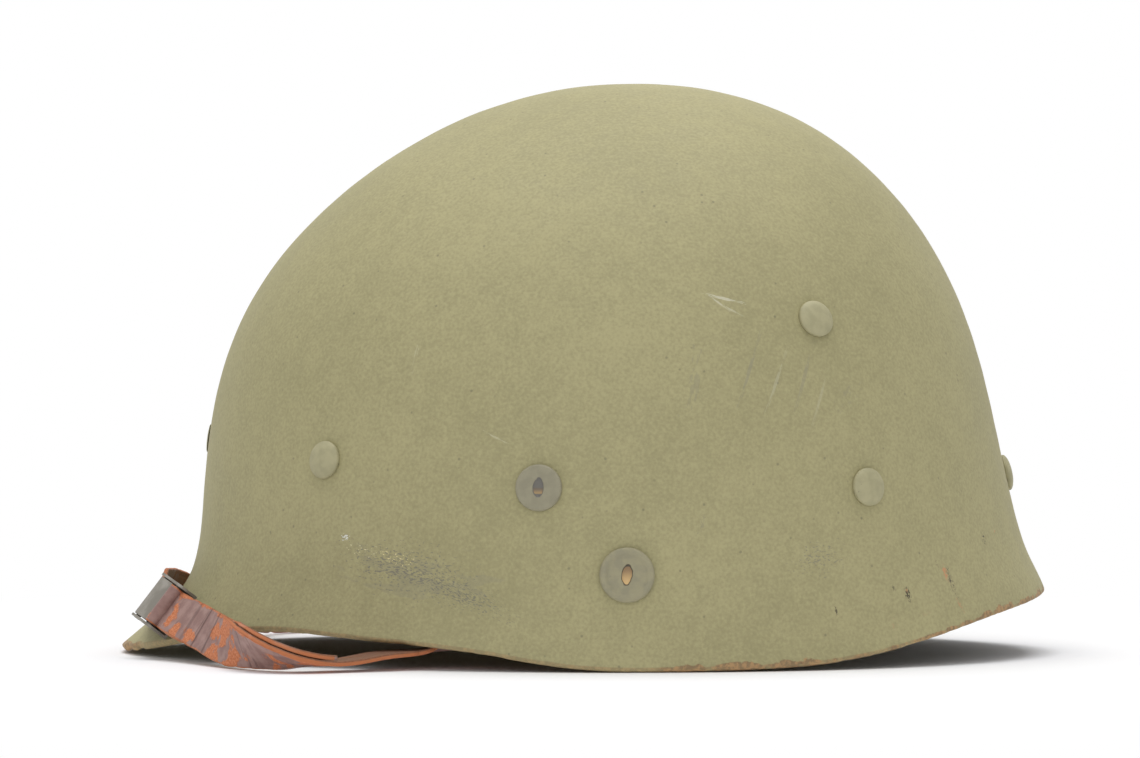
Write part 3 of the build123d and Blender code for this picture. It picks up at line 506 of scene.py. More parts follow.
@dataclass(frozen=True)
class OliveEnamel(Finish):
    """Matte olive drab enamel sprayed on a pressed cotton and phenolic laminate.

    The eye gets a dry, slightly gritty olive surface with soft clouds, dark specks, scuffs, and
    orange-tan fibre where the rim has lost its paint.
    """

    deep: str = "96906A"
    pale: str = "AAA37A"
    speck: str = "6B6852"
    fibre: str = "B08359"
    fibre_dark: str = "7A5A41"
    lining: str = "57523F"
    lining_light: str = "6A644C"
    marks: tuple[Mark, ...] = ()

    def dress(self, tree: bpy.types.NodeTree, shader: bpy.types.Node) -> None:
        """Cloud, grit, specks, marks, the worn rim and the darker inside, one over the other."""
        place = add_node(tree, "ShaderNodeTexCoord").outputs["Object"]
        cloud = self.noise(tree, place, 60.0, 4.0)
        mottle = self.noise(tree, place, 7.0, 5.0)
        # The paint's grit is about 0.2 mm; it is drawn at 0.9 mm so that it shows in the render
        grit = self.noise(tree, place, 0.9, 2.0)
        share = self.math(tree, "MULTIPLY_ADD", cloud, 0.35, 0.0)
        share = self.math(tree, "MULTIPLY_ADD", mottle, 0.25, share)
        share = self.math(tree, "MULTIPLY_ADD", grit, 0.55, share)
        colour = self.blend(tree, self.step(tree, share, 0.38, 0.78), self.deep, self.pale)
        cells = add_node(
            tree, "ShaderNodeTexVoronoi", {"Vector": place, "Scale": 1 / (3.4 * MM), "Randomness": 1.0}
        )
        rare = add_node(tree, "ShaderNodeSeparateColor", {"Color": cells.outputs["Color"]})
        dots = self.math(tree, "SUBTRACT", 1.0, self.step(tree, cells.outputs["Distance"], 0.06, 0.16))
        dots = self.math(tree, "MULTIPLY", dots, self.step(tree, rare.outputs[0], 0.80, 0.86))
        colour = self.blend(tree, self.math(tree, "MULTIPLY", dots, 0.55), colour, self.speck)
        for mark in self.marks:
            local = add_node(
                tree,
                "ShaderNodeMapping",
                {
                    "Vector": place,
                    "Location": (mark.x * MM, -0.11, mark.z * MM),
                    "Rotation": (0.0, math.radians(-mark.tilt), 0.0),
                    "Scale": (mark.long * MM, 0.075, mark.short * MM),
                },
                vector_type="TEXTURE",
            ).outputs[0]
            reach = add_node(tree, "ShaderNodeVectorMath", {0: local}, operation="LENGTH")
            broken = add_node(
                tree, "ShaderNodeTexNoise", {"Vector": local, "Scale": mark.grain, "Detail": 3.0}
            )
            worn = self.math(
                tree, "MULTIPLY_ADD", reach.outputs["Value"], -0.28, broken.outputs["Fac"]
            )
            low = 0.80 - mark.cover
            colour = self.blend(
                tree,
                self.math(tree, "MULTIPLY", self.step(tree, worn, low, low + 0.06), mark.strength),
                colour,
                mark.colour,
            )
        height = self.math(tree, "MULTIPLY_ADD", mottle, 0.6, grit)
        rough = self.math(tree, "MULTIPLY_ADD", mottle, 0.18, 0.58)
        reach = add_node(tree, "ShaderNodeAttribute", attribute_name="rim_reach").outputs["Fac"]
        ragged = self.noise(tree, place, 6.0, 6.0)
        broad = self.noise(tree, place, 45.0, 2.0)
        # Wear reaches up to about 2 mm above the edge, further where the broad noise is high
        limit = self.math(tree, "MULTIPLY", self.step(tree, broad, 0.42, 0.66), 2.2 * MM)
        limit = self.math(tree, "MULTIPLY", limit, self.step(tree, ragged, 0.42, 0.70))
        # It is slight in front, heavier towards the rear, and worst on the visor's left tip
        sides = add_node(tree, "ShaderNodeSeparateXYZ", {"Vector": place}).outputs[0]
        rear = self.math(tree, "MULTIPLY_ADD", self.step(tree, sides, -0.01, 0.07), 0.85, 0.15)
        tip = self.math(tree, "MULTIPLY", self.step(tree, sides, -0.131, -0.136), 2.0 * MM)
        limit = self.math(tree, "MULTIPLY_ADD", limit, rear, tip)
        limit = self.math(tree, "ADD", limit, 0.05 * MM)
        near = self.math(tree, "SUBTRACT", limit, self.math(tree, "ABSOLUTE", reach))
        bare = self.step(tree, near, -0.15 * MM, 0.25 * MM)
        strands = self.step(tree, self.noise(tree, place, 1.2, 4.0), 0.40, 0.62)
        fibre = self.blend(tree, strands, self.fibre_dark, self.fibre)
        inside = self.step(tree, reach, -0.5 * MM, -1.5 * MM)
        lining = self.blend(tree, self.step(tree, mottle, 0.35, 0.7), self.lining, self.lining_light)
        colour = self.blend(tree, inside, colour, lining)
        colour = self.blend(tree, self.math(tree, "MULTIPLY", bare, 0.7), colour, fibre)
        height = self.math(tree, "MULTIPLY_ADD", bare, -0.7, height)
        self.feed(
            tree,
            shader,
            Base_Color=colour,
            Roughness=rough,
            Normal=self.bump(tree, height, 0.16, 0.5),
        )
        shader.inputs["Specular IOR Level"].default_value = 0.35


@dataclass(frozen=True)
class PaintedHead(Finish):
    """Sprayed steel rivet or stud: thinner, greyer paint than the shell's, split over a slit.

    The eye gets a dull grey olive face, a dark band of painted shade on the sloping wall round the
    slit, and bare golden metal in part of it, bright at the bottom and darker towards the top as painted
    shade.
    """

    paint: str = "928C70"
    light: str = "9D9779"
    bare: str = "E3C087"
    # Colour of the slit's metal at its top: painted shade over the brass
    slit_top_shade: str = "8F7454"
    # Dark of the paint chips, and of the painted shade on the slit's wall
    dark: str = "45403A"
    bare_from: float = -2.9
    bare_to: float = 2.2

    def dress(self, tree: bpy.types.NodeTree, shader: bpy.types.Node) -> None:
        """Read face, which is the place on the head in x and y and the slit's mask in z."""
        place = add_node(tree, "ShaderNodeTexCoord").outputs["Object"]
        mottle = self.noise(tree, place, 3.0, 4.0)
        grit = self.noise(tree, place, 0.8, 2.0)
        colour = self.blend(tree, self.step(tree, mottle, 0.35, 0.65), self.paint, self.light)
        chips = self.step(tree, self.noise(tree, place, 1.7, 4.0), 0.69, 0.75)
        colour = self.blend(tree, self.math(tree, "MULTIPLY", chips, 0.45), colour, self.dark)
        face = add_node(tree, "ShaderNodeAttribute", attribute_name="face").outputs["Vector"]
        _, up, slit = add_node(tree, "ShaderNodeSeparateXYZ", {"Vector": face}).outputs
        # Painted shade: a dark band on the slit's sloping wall, round the sunk face
        slit_wall_shade = self.math(tree, "MULTIPLY", self.step(tree, slit, 0.02, 0.55), 0.85)
        colour = self.blend(tree, slit_wall_shade, colour, self.dark)
        low, high = self.bare_from * MM, self.bare_to * MM
        # The bare metal runs from bright brass at the bottom to painted shade at the top
        metal = self.blend(tree, self.step(tree, up, low, high), self.bare, self.slit_top_shade)
        above = self.step(tree, up, low, low + 0.4 * MM)
        below = self.step(tree, up, high + 0.3 * MM, high)
        shown = self.math(tree, "MULTIPLY", above, self.step(tree, slit, 0.72, 0.95))
        shown = self.math(tree, "MULTIPLY", shown, below)
        colour = self.blend(tree, shown, colour, metal)
        self.feed(
            tree,
            shader,
            Base_Color=colour,
            Roughness=self.math(tree, "MULTIPLY_ADD", mottle, 0.2, 0.52),
            Normal=self.bump(tree, grit, 0.1, 0.4),
        )


@dataclass(frozen=True)
class DullSteel(Finish):
    """Plated or painted sheet steel, dulled by age, with dark spots and paler worn places."""

    body: str = "8D8B80"
    worn: str = "A9A698"
    stain: str = "5B5140"
    metallic: float = 0.65
    rough: float = 0.42
    stains: float = 0.62

    def dress(self, tree: bpy.types.NodeTree, shader: bpy.types.Node) -> None:
        """Worn and stained patches over a plain body, with a faint rolled grain."""
        place = add_node(tree, "ShaderNodeTexCoord").outputs["Object"]
        broad = self.noise(tree, place, 7.0, 5.0)
        fine = self.noise(tree, place, 0.8, 3.0)
        colour = self.blend(tree, self.step(tree, broad, 0.42, 0.62), self.body, self.worn)
        spots = self.step(tree, self.noise(tree, place, 2.6, 6.0), self.stains, self.stains + 0.08)
        colour = self.blend(tree, self.math(tree, "MULTIPLY", spots, 0.8), colour, self.stain)
        rough = self.math(tree, "MULTIPLY_ADD", broad, 0.25, self.rough)
        self.feed(
            tree,
            shader,
            Base_Color=colour,
            Metallic=self.metallic,
            Roughness=self.math(tree, "MULTIPLY_ADD", spots, 0.2, rough),
            Normal=self.bump(tree, fine, 0.06, 0.5),
        )


@dataclass(frozen=True)
class FlakedLeather(Finish):
    """Russet strap leather whose finished face is purple-brown and flakes to orange fibre.

    The eye gets a smooth dull face with fine cross cracks, rough orange islands, orange cut
    edges and a dark brown flesh side.
    """

    face: str = "866760"
    face_light: str = "9D7F77"
    flake: str = "B76C45"
    flake_light: str = "CB845F"
    edge: str = "A86A45"
    flesh: str = "6B4A38"
    flesh_light: str = "855F48"
    crack: str = "5C403A"
    # Colour of the painted shade in the creases
    fold: str = "4A302A"

    def dress(self, tree: bpy.types.NodeTree, shader: bpy.types.Node) -> None:
        """Read lay, which is run, across and through, so that the pattern follows the strap."""
        lay = add_node(tree, "ShaderNodeAttribute", attribute_name="lay").outputs["Vector"]
        parts = add_node(tree, "ShaderNodeSeparateXYZ", {"Vector": lay})
        _, across, through = parts.outputs
        worn = add_node(tree, "ShaderNodeAttribute", attribute_name="worn").outputs["Fac"]
        broad = self.noise(tree, lay, 7.5, 6.0)
        fine = self.noise(tree, lay, 0.7, 3.0)
        cloud = self.noise(tree, lay, 3.5, 4.0)
        colour = self.blend(tree, self.step(tree, cloud, 0.35, 0.68), self.face, self.face_light)
        # Cracks run square to the strap, 1 to 3 mm apart
        stretched = add_node(
            tree, "ShaderNodeMapping", {"Vector": lay, "Scale": (1.0, 0.12, 1.0)}
        ).outputs[0]
        cracks = self.step(tree, self.noise(tree, stretched, 1.5, 4.0), 0.60, 0.68)
        colour = self.blend(tree, self.math(tree, "MULTIPLY", cracks, 0.5), colour, self.crack)
        upper = self.step(tree, across, 4.6 * MM, 6.3 * MM)
        loose = self.math(tree, "MULTIPLY_ADD", upper, 0.14, broad)
        loose = self.math(tree, "MULTIPLY_ADD", worn, 0.20, loose)
        bare = self.step(tree, loose, 0.60, 0.645)
        orange = self.blend(tree, self.step(tree, fine, 0.38, 0.64), self.flake, self.flake_light)
        colour = self.blend(tree, bare, colour, orange)
        aside = self.math(tree, "ABSOLUTE", across)
        frayed = self.math(tree, "MULTIPLY_ADD", fine, 0.7 * MM, aside)
        rim = self.step(tree, frayed, 6.15 * MM, 6.45 * MM)
        colour = self.blend(tree, rim, colour, self.blend(tree, cloud, self.edge, self.flake))
        crease = add_node(tree, "ShaderNodeAttribute", attribute_name="crease").outputs["Fac"]
        # The creases are darkened with painted shade; the bump below also sinks them
        colour = self.blend(tree, self.math(tree, "MULTIPLY", crease, 0.75), colour, self.fold)
        under = self.step(tree, through, -0.1 * MM, -0.45 * MM)
        flesh = self.blend(tree, self.step(tree, fine, 0.35, 0.7), self.flesh, self.flesh_light)
        colour = self.blend(tree, self.math(tree, "MULTIPLY", under, 0.9), colour, flesh)
        height = self.math(tree, "MULTIPLY_ADD", bare, -1.6, fine)
        height = self.math(tree, "MULTIPLY_ADD", cracks, -0.8, height)
        height = self.math(tree, "MULTIPLY_ADD", crease, -3.0, height)
        self.feed(
            tree,
            shader,
            Base_Color=colour,
            Roughness=self.math(tree, "MULTIPLY_ADD", bare, 0.28, 0.56),
            Normal=self.bump(tree, height, 0.12, 0.7),
        )
        shader.inputs["Specular IOR Level"].default_value = 0.35


@dataclass(frozen=True)
class SweatLeather(Finish):
    """Thin tanned sweatband leather: fine pores, darker bands where it has been worn."""

    tan: str = "7E5638"
    dark: str = "563824"
    dusty: str = "8F6544"

    def dress(self, tree: bpy.types.NodeTree, shader: bpy.types.Node) -> None:
        """Pores and long stains that follow the band."""
        lay = add_node(tree, "ShaderNodeAttribute", attribute_name="lay").outputs["Vector"]
        stretched = add_node(
            tree, "ShaderNodeMapping", {"Vector": lay, "Scale": (0.25, 1.0, 1.0)}
        ).outputs[0]
        stain = self.noise(tree, stretched, 7.0, 5.0)
        pores = add_node(tree, "ShaderNodeTexVoronoi", {"Vector": lay, "Scale": 1 / (1.1 * MM)})
        fine = self.noise(tree, lay, 0.9, 3.0)
        colour = self.blend(tree, self.step(tree, stain, 0.38, 0.66), self.tan, self.dark)
        colour = self.blend(tree, self.math(tree, "MULTIPLY", fine, 0.35), colour, self.dusty)
        height = self.math(tree, "MULTIPLY_ADD", pores.outputs["Distance"], 0.8, fine)
        self.feed(
            tree,
            shader,
            Base_Color=colour,
            Roughness=self.math(tree, "MULTIPLY_ADD", stain, 0.25, 0.42),
            Normal=self.bump(tree, height, 0.12, 0.6),
        )


@dataclass(frozen=True)
class HerringboneWeb(Finish):
    """Olive drab cotton webbing woven in herringbone twill, with ribs about 1.3 mm apart."""

    thread: str = "7C7757"
    shade: str = "4E4A34"
    soiled: str = "5A5238"
    pitch: float = 1.3
    stripe: float = 4.8

    def dress(self, tree: bpy.types.NodeTree, shader: bpy.types.Node) -> None:
        """Ribs run one way and then the other across the strap: sin of run plus folded across."""
        lay = add_node(tree, "ShaderNodeAttribute", attribute_name="lay").outputs["Vector"]
        parts = add_node(tree, "ShaderNodeSeparateXYZ", {"Vector": lay})
        folded = self.math(tree, "PINGPONG", parts.outputs[1], self.stripe * MM)
        along = self.math(tree, "ADD", parts.outputs[0], folded)
        wave = self.math(tree, "SINE", self.math(tree, "MULTIPLY", along, 2 * math.pi / (self.pitch * MM)))
        rib = self.math(tree, "MULTIPLY_ADD", wave, 0.5, 0.5)
        fuzz = self.noise(tree, lay, 0.6, 3.0)
        stain = self.noise(tree, lay, 22.0, 4.0)
        share = self.math(tree, "MULTIPLY_ADD", rib, 0.6, self.math(tree, "MULTIPLY", fuzz, 0.4))
        colour = self.blend(tree, share, self.shade, self.thread)
        colour = self.blend(tree, self.step(tree, stain, 0.5, 0.8), colour, self.soiled)
        self.feed(
            tree,
            shader,
            Base_Color=colour,
            Roughness=0.92,
            Normal=self.bump(tree, self.math(tree, "MULTIPLY_ADD", fuzz, 0.4, rib), 0.25, 0.8),
            Sheen_Weight=0.15,
        )


@dataclass(frozen=True)
class WhiteStage(Finish):
    """Floor and backdrop: matt white that keeps the shadow and runs to plain white far off."""

    near: float = 0.24
    far: float = 0.42

    def dress(self, tree: bpy.types.NodeTree, shader: bpy.types.Node) -> None:
        """Beyond the shadow, camera and gloss rays see plain white; from below the floor is clear."""
        place = add_node(tree, "ShaderNodeTexCoord").outputs["Object"]
        reach = add_node(tree, "ShaderNodeVectorMath", {0: place}, operation="LENGTH")
        away = self.step(tree, reach.outputs["Value"], self.near, self.far)
        rays = add_node(tree, "ShaderNodeLightPath")
        seen = self.math(tree, "MAXIMUM", rays.outputs["Is Camera Ray"], rays.outputs["Is Glossy Ray"])
        seen = self.math(tree, "MAXIMUM", seen, rays.outputs["Is Transmission Ray"])
        glow = add_node(tree, "ShaderNodeEmission", {"Color": (1.0, 1.0, 1.0, 1.0), "Strength": 1.0})
        self.feed(tree, shader, Base_Color=linear("F4F4F6"), Roughness=0.9)
        shader.inputs["Specular IOR Level"].default_value = 0.1
        mixed = add_node(
            tree,
            "ShaderNodeMixShader",
            {0: self.math(tree, "MULTIPLY", away, seen), 1: shader.outputs[0], 2: glow.outputs[0]},
        )
        clear = add_node(tree, "ShaderNodeBsdfTransparent")
        back = add_node(tree, "ShaderNodeNewGeometry").outputs["Backfacing"]
        # Shadow rays pass, so that the lamp below lights the inside; the object's shadow stays
        back = self.math(tree, "MAXIMUM", back, rays.outputs["Is Shadow Ray"])
        both = add_node(
            tree, "ShaderNodeMixShader", {0: back, 1: mixed.outputs[0], 2: clear.outputs[0]}
        )
        output = next(n for n in tree.nodes if n.type == "OUTPUT_MATERIAL")
        tree.links.new(both.outputs[0], output.inputs["Surface"])


@dataclass
class Dome:
    """The liner's form: level sections of two half ellipses, from tables as in the part."""

    length: float = 275.4
    width: float = 228.0
    height: float = 169.0
    wall: float = WALL
    waist: float = 0.029
    rows: tuple[tuple[float, ...], ...] = (
        (-0.036, -0.5320, 0.5447, 1.0140),
        (0.000, -0.5070, 0.5320, 1.0000),
        (0.047, -0.4728, 0.5150, 0.9825),
        (0.083, -0.4488, 0.5047, 0.9746),
        (0.118, -0.4303, 0.4982, 0.9710),
        (0.160, -0.4187, 0.4858, 0.9690),
        (0.266, -0.4092, 0.4644, 0.9620),
        (0.414, -0.3994, 0.4444, 0.9350),
        (0.592, -0.3653, 0.4139, 0.8540),
        (0.769, -0.2840, 0.3544, 0.6950),
        (0.905, -0.1692, 0.2672, 0.4690),
        (0.979, -0.0537, 0.1638, 0.2330),
        (1.000, 0.0559, 0.0559, 0.0000),
    )
    rim: tuple[tuple[float, float], ...] = (
        (0.0, 0.1053),
        (17.0, 0.0965),
        (35.0, 0.0722),
        (51.0, 0.0349),
        (65.5, 0.0071),
        (73.0, 0.0024),
        (84.0, 0.0000),
        (94.0, 0.0041),
        (105.0, 0.0266),
        (123.0, 0.0473),
        (139.0, 0.0533),
        (152.0, 0.0296),
        (165.0, 0.0095),
        (180.0, 0.0024),
    )

    def __post_init__(self) -> None:
        """Lay the curves through the tables."""
        table = np.array(self.rows)[::-1]
        scale = np.array([self.length, self.length, self.width / 2])
        self.ends = NaturalCurve(np.sqrt(1 - table[:, 0]), table[:, 1:] * scale)
        rim = np.array(self.rim)
        knots = np.concatenate([[-rim[1, 0]], rim[:, 0], [360 - rim[-2, 0]]])
        shares = np.concatenate([[rim[1, 1]], rim[:, 1], [rim[-2, 1]]])
        self.rim_level = NaturalCurve(knots, shares * self.height)
        self.crown_x = table[0, 1] * self.length
        sides = np.radians(np.arange(60, 120))
        lower = self.lower_level(sides)
        normal = self.frame(sides, self.depth_of(lower))[1]
        corner = self.at(sides, self.depth_of(lower + self.wall * normal[..., 2]))
        self.floor = float((corner - normal * self.wall)[..., 2].min())

    def lower_level(self, turn: np.ndarray) -> np.ndarray:
        """Level of the rim's lower corner before it is set on the table.

        Args:
            turn: Angle round the dome from the rear, in radians.

        Returns:
            Levels in millimetres.
        """
        angle = np.degrees(np.abs(np.arctan2(np.sin(turn), np.cos(turn))))
        return self.rim_level(angle)[..., 0]

    def depth_of(self, level: np.ndarray) -> np.ndarray:
        """Depth share of a level: 0 at the crown and 1 at the table.

        Args:
            level: Height over the table.

        Returns:
            Depth shares.
        """
        return np.sqrt(np.clip(1 - np.asarray(level, float) / self.height, 0, None))

    def at(self, turn: np.ndarray, depth: np.ndarray) -> np.ndarray:
        """Point on the outside at a turn from the rear and a depth share.

        The level is height times one minus the depth squared; the section there is two half
        ellipses that meet at its widest station.

        Args:
            turn: Angle round the dome from the rear, in radians.
            depth: Depth share: 0 at the crown, 1 at the table.

        Returns:
            Points in millimetres.
        """
        turn, depth = np.broadcast_arrays(np.asarray(turn, float), np.asarray(depth, float))
        ends = self.ends(depth)
        level = self.height * (1 - depth**2)
        share = np.clip(level / self.height, 0, 1)
        start = self.waist * self.length
        waist = start + (self.crown_x - start) * share
        reach = np.where(np.cos(turn) >= 0, ends[..., 1] - waist, waist - ends[..., 0])
        return np.stack([waist + reach * np.cos(turn), ends[..., 2] * np.sin(turn), level], -1)

    def frame(self, turn: np.ndarray, depth: np.ndarray) -> tuple[np.ndarray, np.ndarray, np.ndarray]:
        """Point, outward normal and the way down the wall, by small differences.

        Args:
            turn: Angle round the dome from the rear, in radians.
            depth: Depth share: 0 at the crown, 1 at the table.

        Returns:
            The points, the normals and the ways down.
        """
        nudge = 0.004
        along = self.at(turn + nudge, depth) - self.at(turn - nudge, depth)
        down = self.at(turn, depth + nudge) - self.at(turn, depth - nudge)
        normal = unit(np.cross(down, along))
        return self.at(turn, depth), normal, unit(down)

    def rim_depth(self, turn: np.ndarray) -> np.ndarray:
        """Depth share of the rim's outer corner at a turn.

        Args:
            turn: Angle round the dome from the rear, in radians.

        Returns:
            Depth shares of the corner.
        """
        lower = self.lower_level(turn) - self.floor
        normal = self.frame(turn, self.depth_of(lower))[1]
        return self.depth_of(lower + self.wall * normal[..., 2])


@dataclass
class Seat:
    """Frame on the outside of the dome: x runs level, y up the wall, and n outwards."""

    dome: Dome
    angle: float
    level_share: float

    def __post_init__(self) -> None:
        """Find the point and the three ways."""
        turn = np.radians(self.angle)
        depth = self.dome.depth_of(self.level_share * self.dome.height)
        self.origin, self.n, _ = (np.asarray(v, float) for v in self.dome.frame(turn, depth))
        self.x = unit(np.cross([0.0, 0.0, 1.0], self.n))
        self.y = np.cross(self.n, self.x)

    def place(self, x: np.ndarray, y: np.ndarray, z: np.ndarray) -> np.ndarray:
        """Points at local places, in the model's frame.

        Args:
            x: Ways along the seat's level axis.
            y: Ways along its upward axis.
            z: Ways along its outward normal.

        Returns:
            The points, in the shape of the three together.
        """
        x, y, z = np.broadcast_arrays(x, y, z)
        return self.origin + x[..., None] * self.x + y[..., None] * self.y + z[..., None] * self.n


@dataclass
class LinerShell:
    """The pressed shell: outside, rounded worn edge and inside, as one closed surface.

    The skin has broad and small waves, swell and pimple deep. The edge is frayed and chipped
    back, most at the visor's left tip, which lies at tip_turn degrees.
    """

    dome: Dome
    columns: int = 400
    outer_rows: int = 130
    edge_rows: int = 9
    inner_rows: int = 50
    edge_reach: float = 0.8
    edge_power: float = 0.7
    swell: float = 0.22
    pimple: float = 0.04
    fray: float = 0.18
    chip: float = 0.5
    tip_chip: float = 0.9
    tip_turn: float = 193.0
    hole_radius: float = 2.6
    tool_above: float = 12.0
    tool_below: float = 14.0

    def sag(self, points: np.ndarray) -> np.ndarray:
        """How far the skin lies off the ideal one, along the normal: two sizes of ripple.

        Args:
            points: Points of the ideal skin.

        Returns:
            Offsets in millimetres, which are mostly inward.
        """
        broad = -self.swell / 2 * (1 + 0.7 * ripple(points, 42.0, 1))
        return broad - self.pimple * (1 + ripple(points, 9.0, 2))

    def worn_back(self, turn: np.ndarray, corner: np.ndarray) -> np.ndarray:
        """How far the edge has worn back at each turn: smooth steps of ripples.

        Args:
            turn: Angle round the dome from the rear, in radians.
            corner: Rim's outer corner at each turn.

        Returns:
            Lengths in millimetres.
        """
        tip = soft_step(7.0, 2.0, np.abs(np.degrees(turn) - self.tip_turn))
        frayed = self.fray * soft_step(0.2, 1.4, ripple(corner, 9.0, 5))
        chipped = self.chip * soft_step(0.9, 1.6, ripple(corner, 6.0, 8))
        return frayed + chipped + self.tip_chip * tip * soft_step(-0.3, 0.7, ripple(corner, 3.0, 3))

    def points(self) -> tuple[np.ndarray, np.ndarray]:
        """Grid of the shell and its signed distance from the rim.

        Outside: the dome at depth shares from the crown to the rim. Edge: a flattened half
        ellipse square to the wall. Inside: the same surface moved in by the wall.

        Returns:
            The points, and for each the way to the rim, which is negative inside.
        """
        turn = np.linspace(0, 2 * math.pi, self.columns, endpoint=False)
        rim = self.dome.rim_depth(turn)
        corner = self.dome.at(turn, rim)
        span = 0.002
        speed = np.linalg.norm(corner - self.dome.at(turn, rim - span), axis=-1) / span
        last = rim - (self.edge_reach + self.worn_back(turn, corner)) / speed
        share = 1 - (1 - np.linspace(0.004, 1, self.outer_rows)) ** 1.25
        point, normal, down = self.dome.frame(turn[None, :], share[:, None] * last[None, :])
        outer = point + normal * self.sag(point)[..., None]
        normal, down = normal[-1], down[-1]
        swing = np.linspace(0, math.pi, self.edge_rows + 2)[1:-1, None]
        level = np.sign(np.cos(swing)) * np.abs(np.cos(swing)) ** self.edge_power * self.dome.wall / 2
        centre = outer[-1] - normal * self.dome.wall / 2
        rough = np.minimum(1 + 0.16 * ripple(centre, 2.2, 6), 1.0)
        bulge = np.sin(swing) ** self.edge_power * self.edge_reach * rough
        edge = centre + normal * level[..., None] + down * bulge[..., None]
        back = np.linspace(1, 0.006, self.inner_rows)
        point, normal, _ = self.dome.frame(turn[None, :], back[:, None] * last[None, :])
        inner = point + normal * (self.sag(point) - self.dome.wall)[..., None]
        legs = np.linalg.norm(np.diff(outer, axis=0), axis=-1)
        away = np.vstack([np.cumsum(legs[::-1], axis=0)[::-1], np.zeros((1, self.columns))])
        legs = np.linalg.norm(np.diff(inner, axis=0), axis=-1)
        within = -np.vstack([np.zeros((1, self.columns)), np.cumsum(legs, axis=0)])
        reach = np.vstack([away, np.zeros((self.edge_rows, self.columns)), within])
        return np.vstack([outer, edge, inner]), reach

    def build(self, material: bpy.types.Material) -> bpy.types.Object:
        """Make the shell and bore the eyelet's hole through it.

        Args:
            material: Material of the paint.

        Returns:
            The shell's object.
        """
        points, reach = self.points()
        top = points[0].mean(0)
        under = points[-1].mean(0)
        far = np.array([reach[0].mean(), reach[-1].mean()])
        notes = {"rim_reach": np.concatenate([reach.ravel(), far]) * MM}
        mesh = grid_mesh("liner_shell_skin", points, top, under, notes)
        piece = add_piece("liner_shell_skin", mesh, material, ("liner_shell",))
        turn = np.linspace(0, 2 * math.pi, 48, endpoint=False)[None]
        ends = np.array([[self.tool_above], [-self.tool_below]])
        x, y = self.hole_radius * np.cos(turn), self.hole_radius * np.sin(turn)
        tool_points = Seat(self.dome, *EYELET).place(x, y, ends)
        tool_mesh = grid_mesh("tool", tool_points, tool_points[0].mean(0), tool_points[1].mean(0))
        tool = bpy.data.objects.new("tool", tool_mesh)
        bpy.context.scene.collection.objects.link(tool)
        cut = piece.modifiers.new("eyelet_hole", "BOOLEAN")
        cut.operation, cut.solver, cut.object = "DIFFERENCE", "EXACT", tool
        bpy.context.view_layer.update()
        graph = bpy.context.evaluated_depsgraph_get()
        made = bpy.data.meshes.new_from_object(piece.evaluated_get(graph))
        piece.modifiers.clear()
        piece.data = made
        bpy.data.objects.remove(tool)
        made.materials.clear()
        made.materials.append(material)
        LOG.info("shell after its hole: %d faces", len(made.polygons))
        return piece


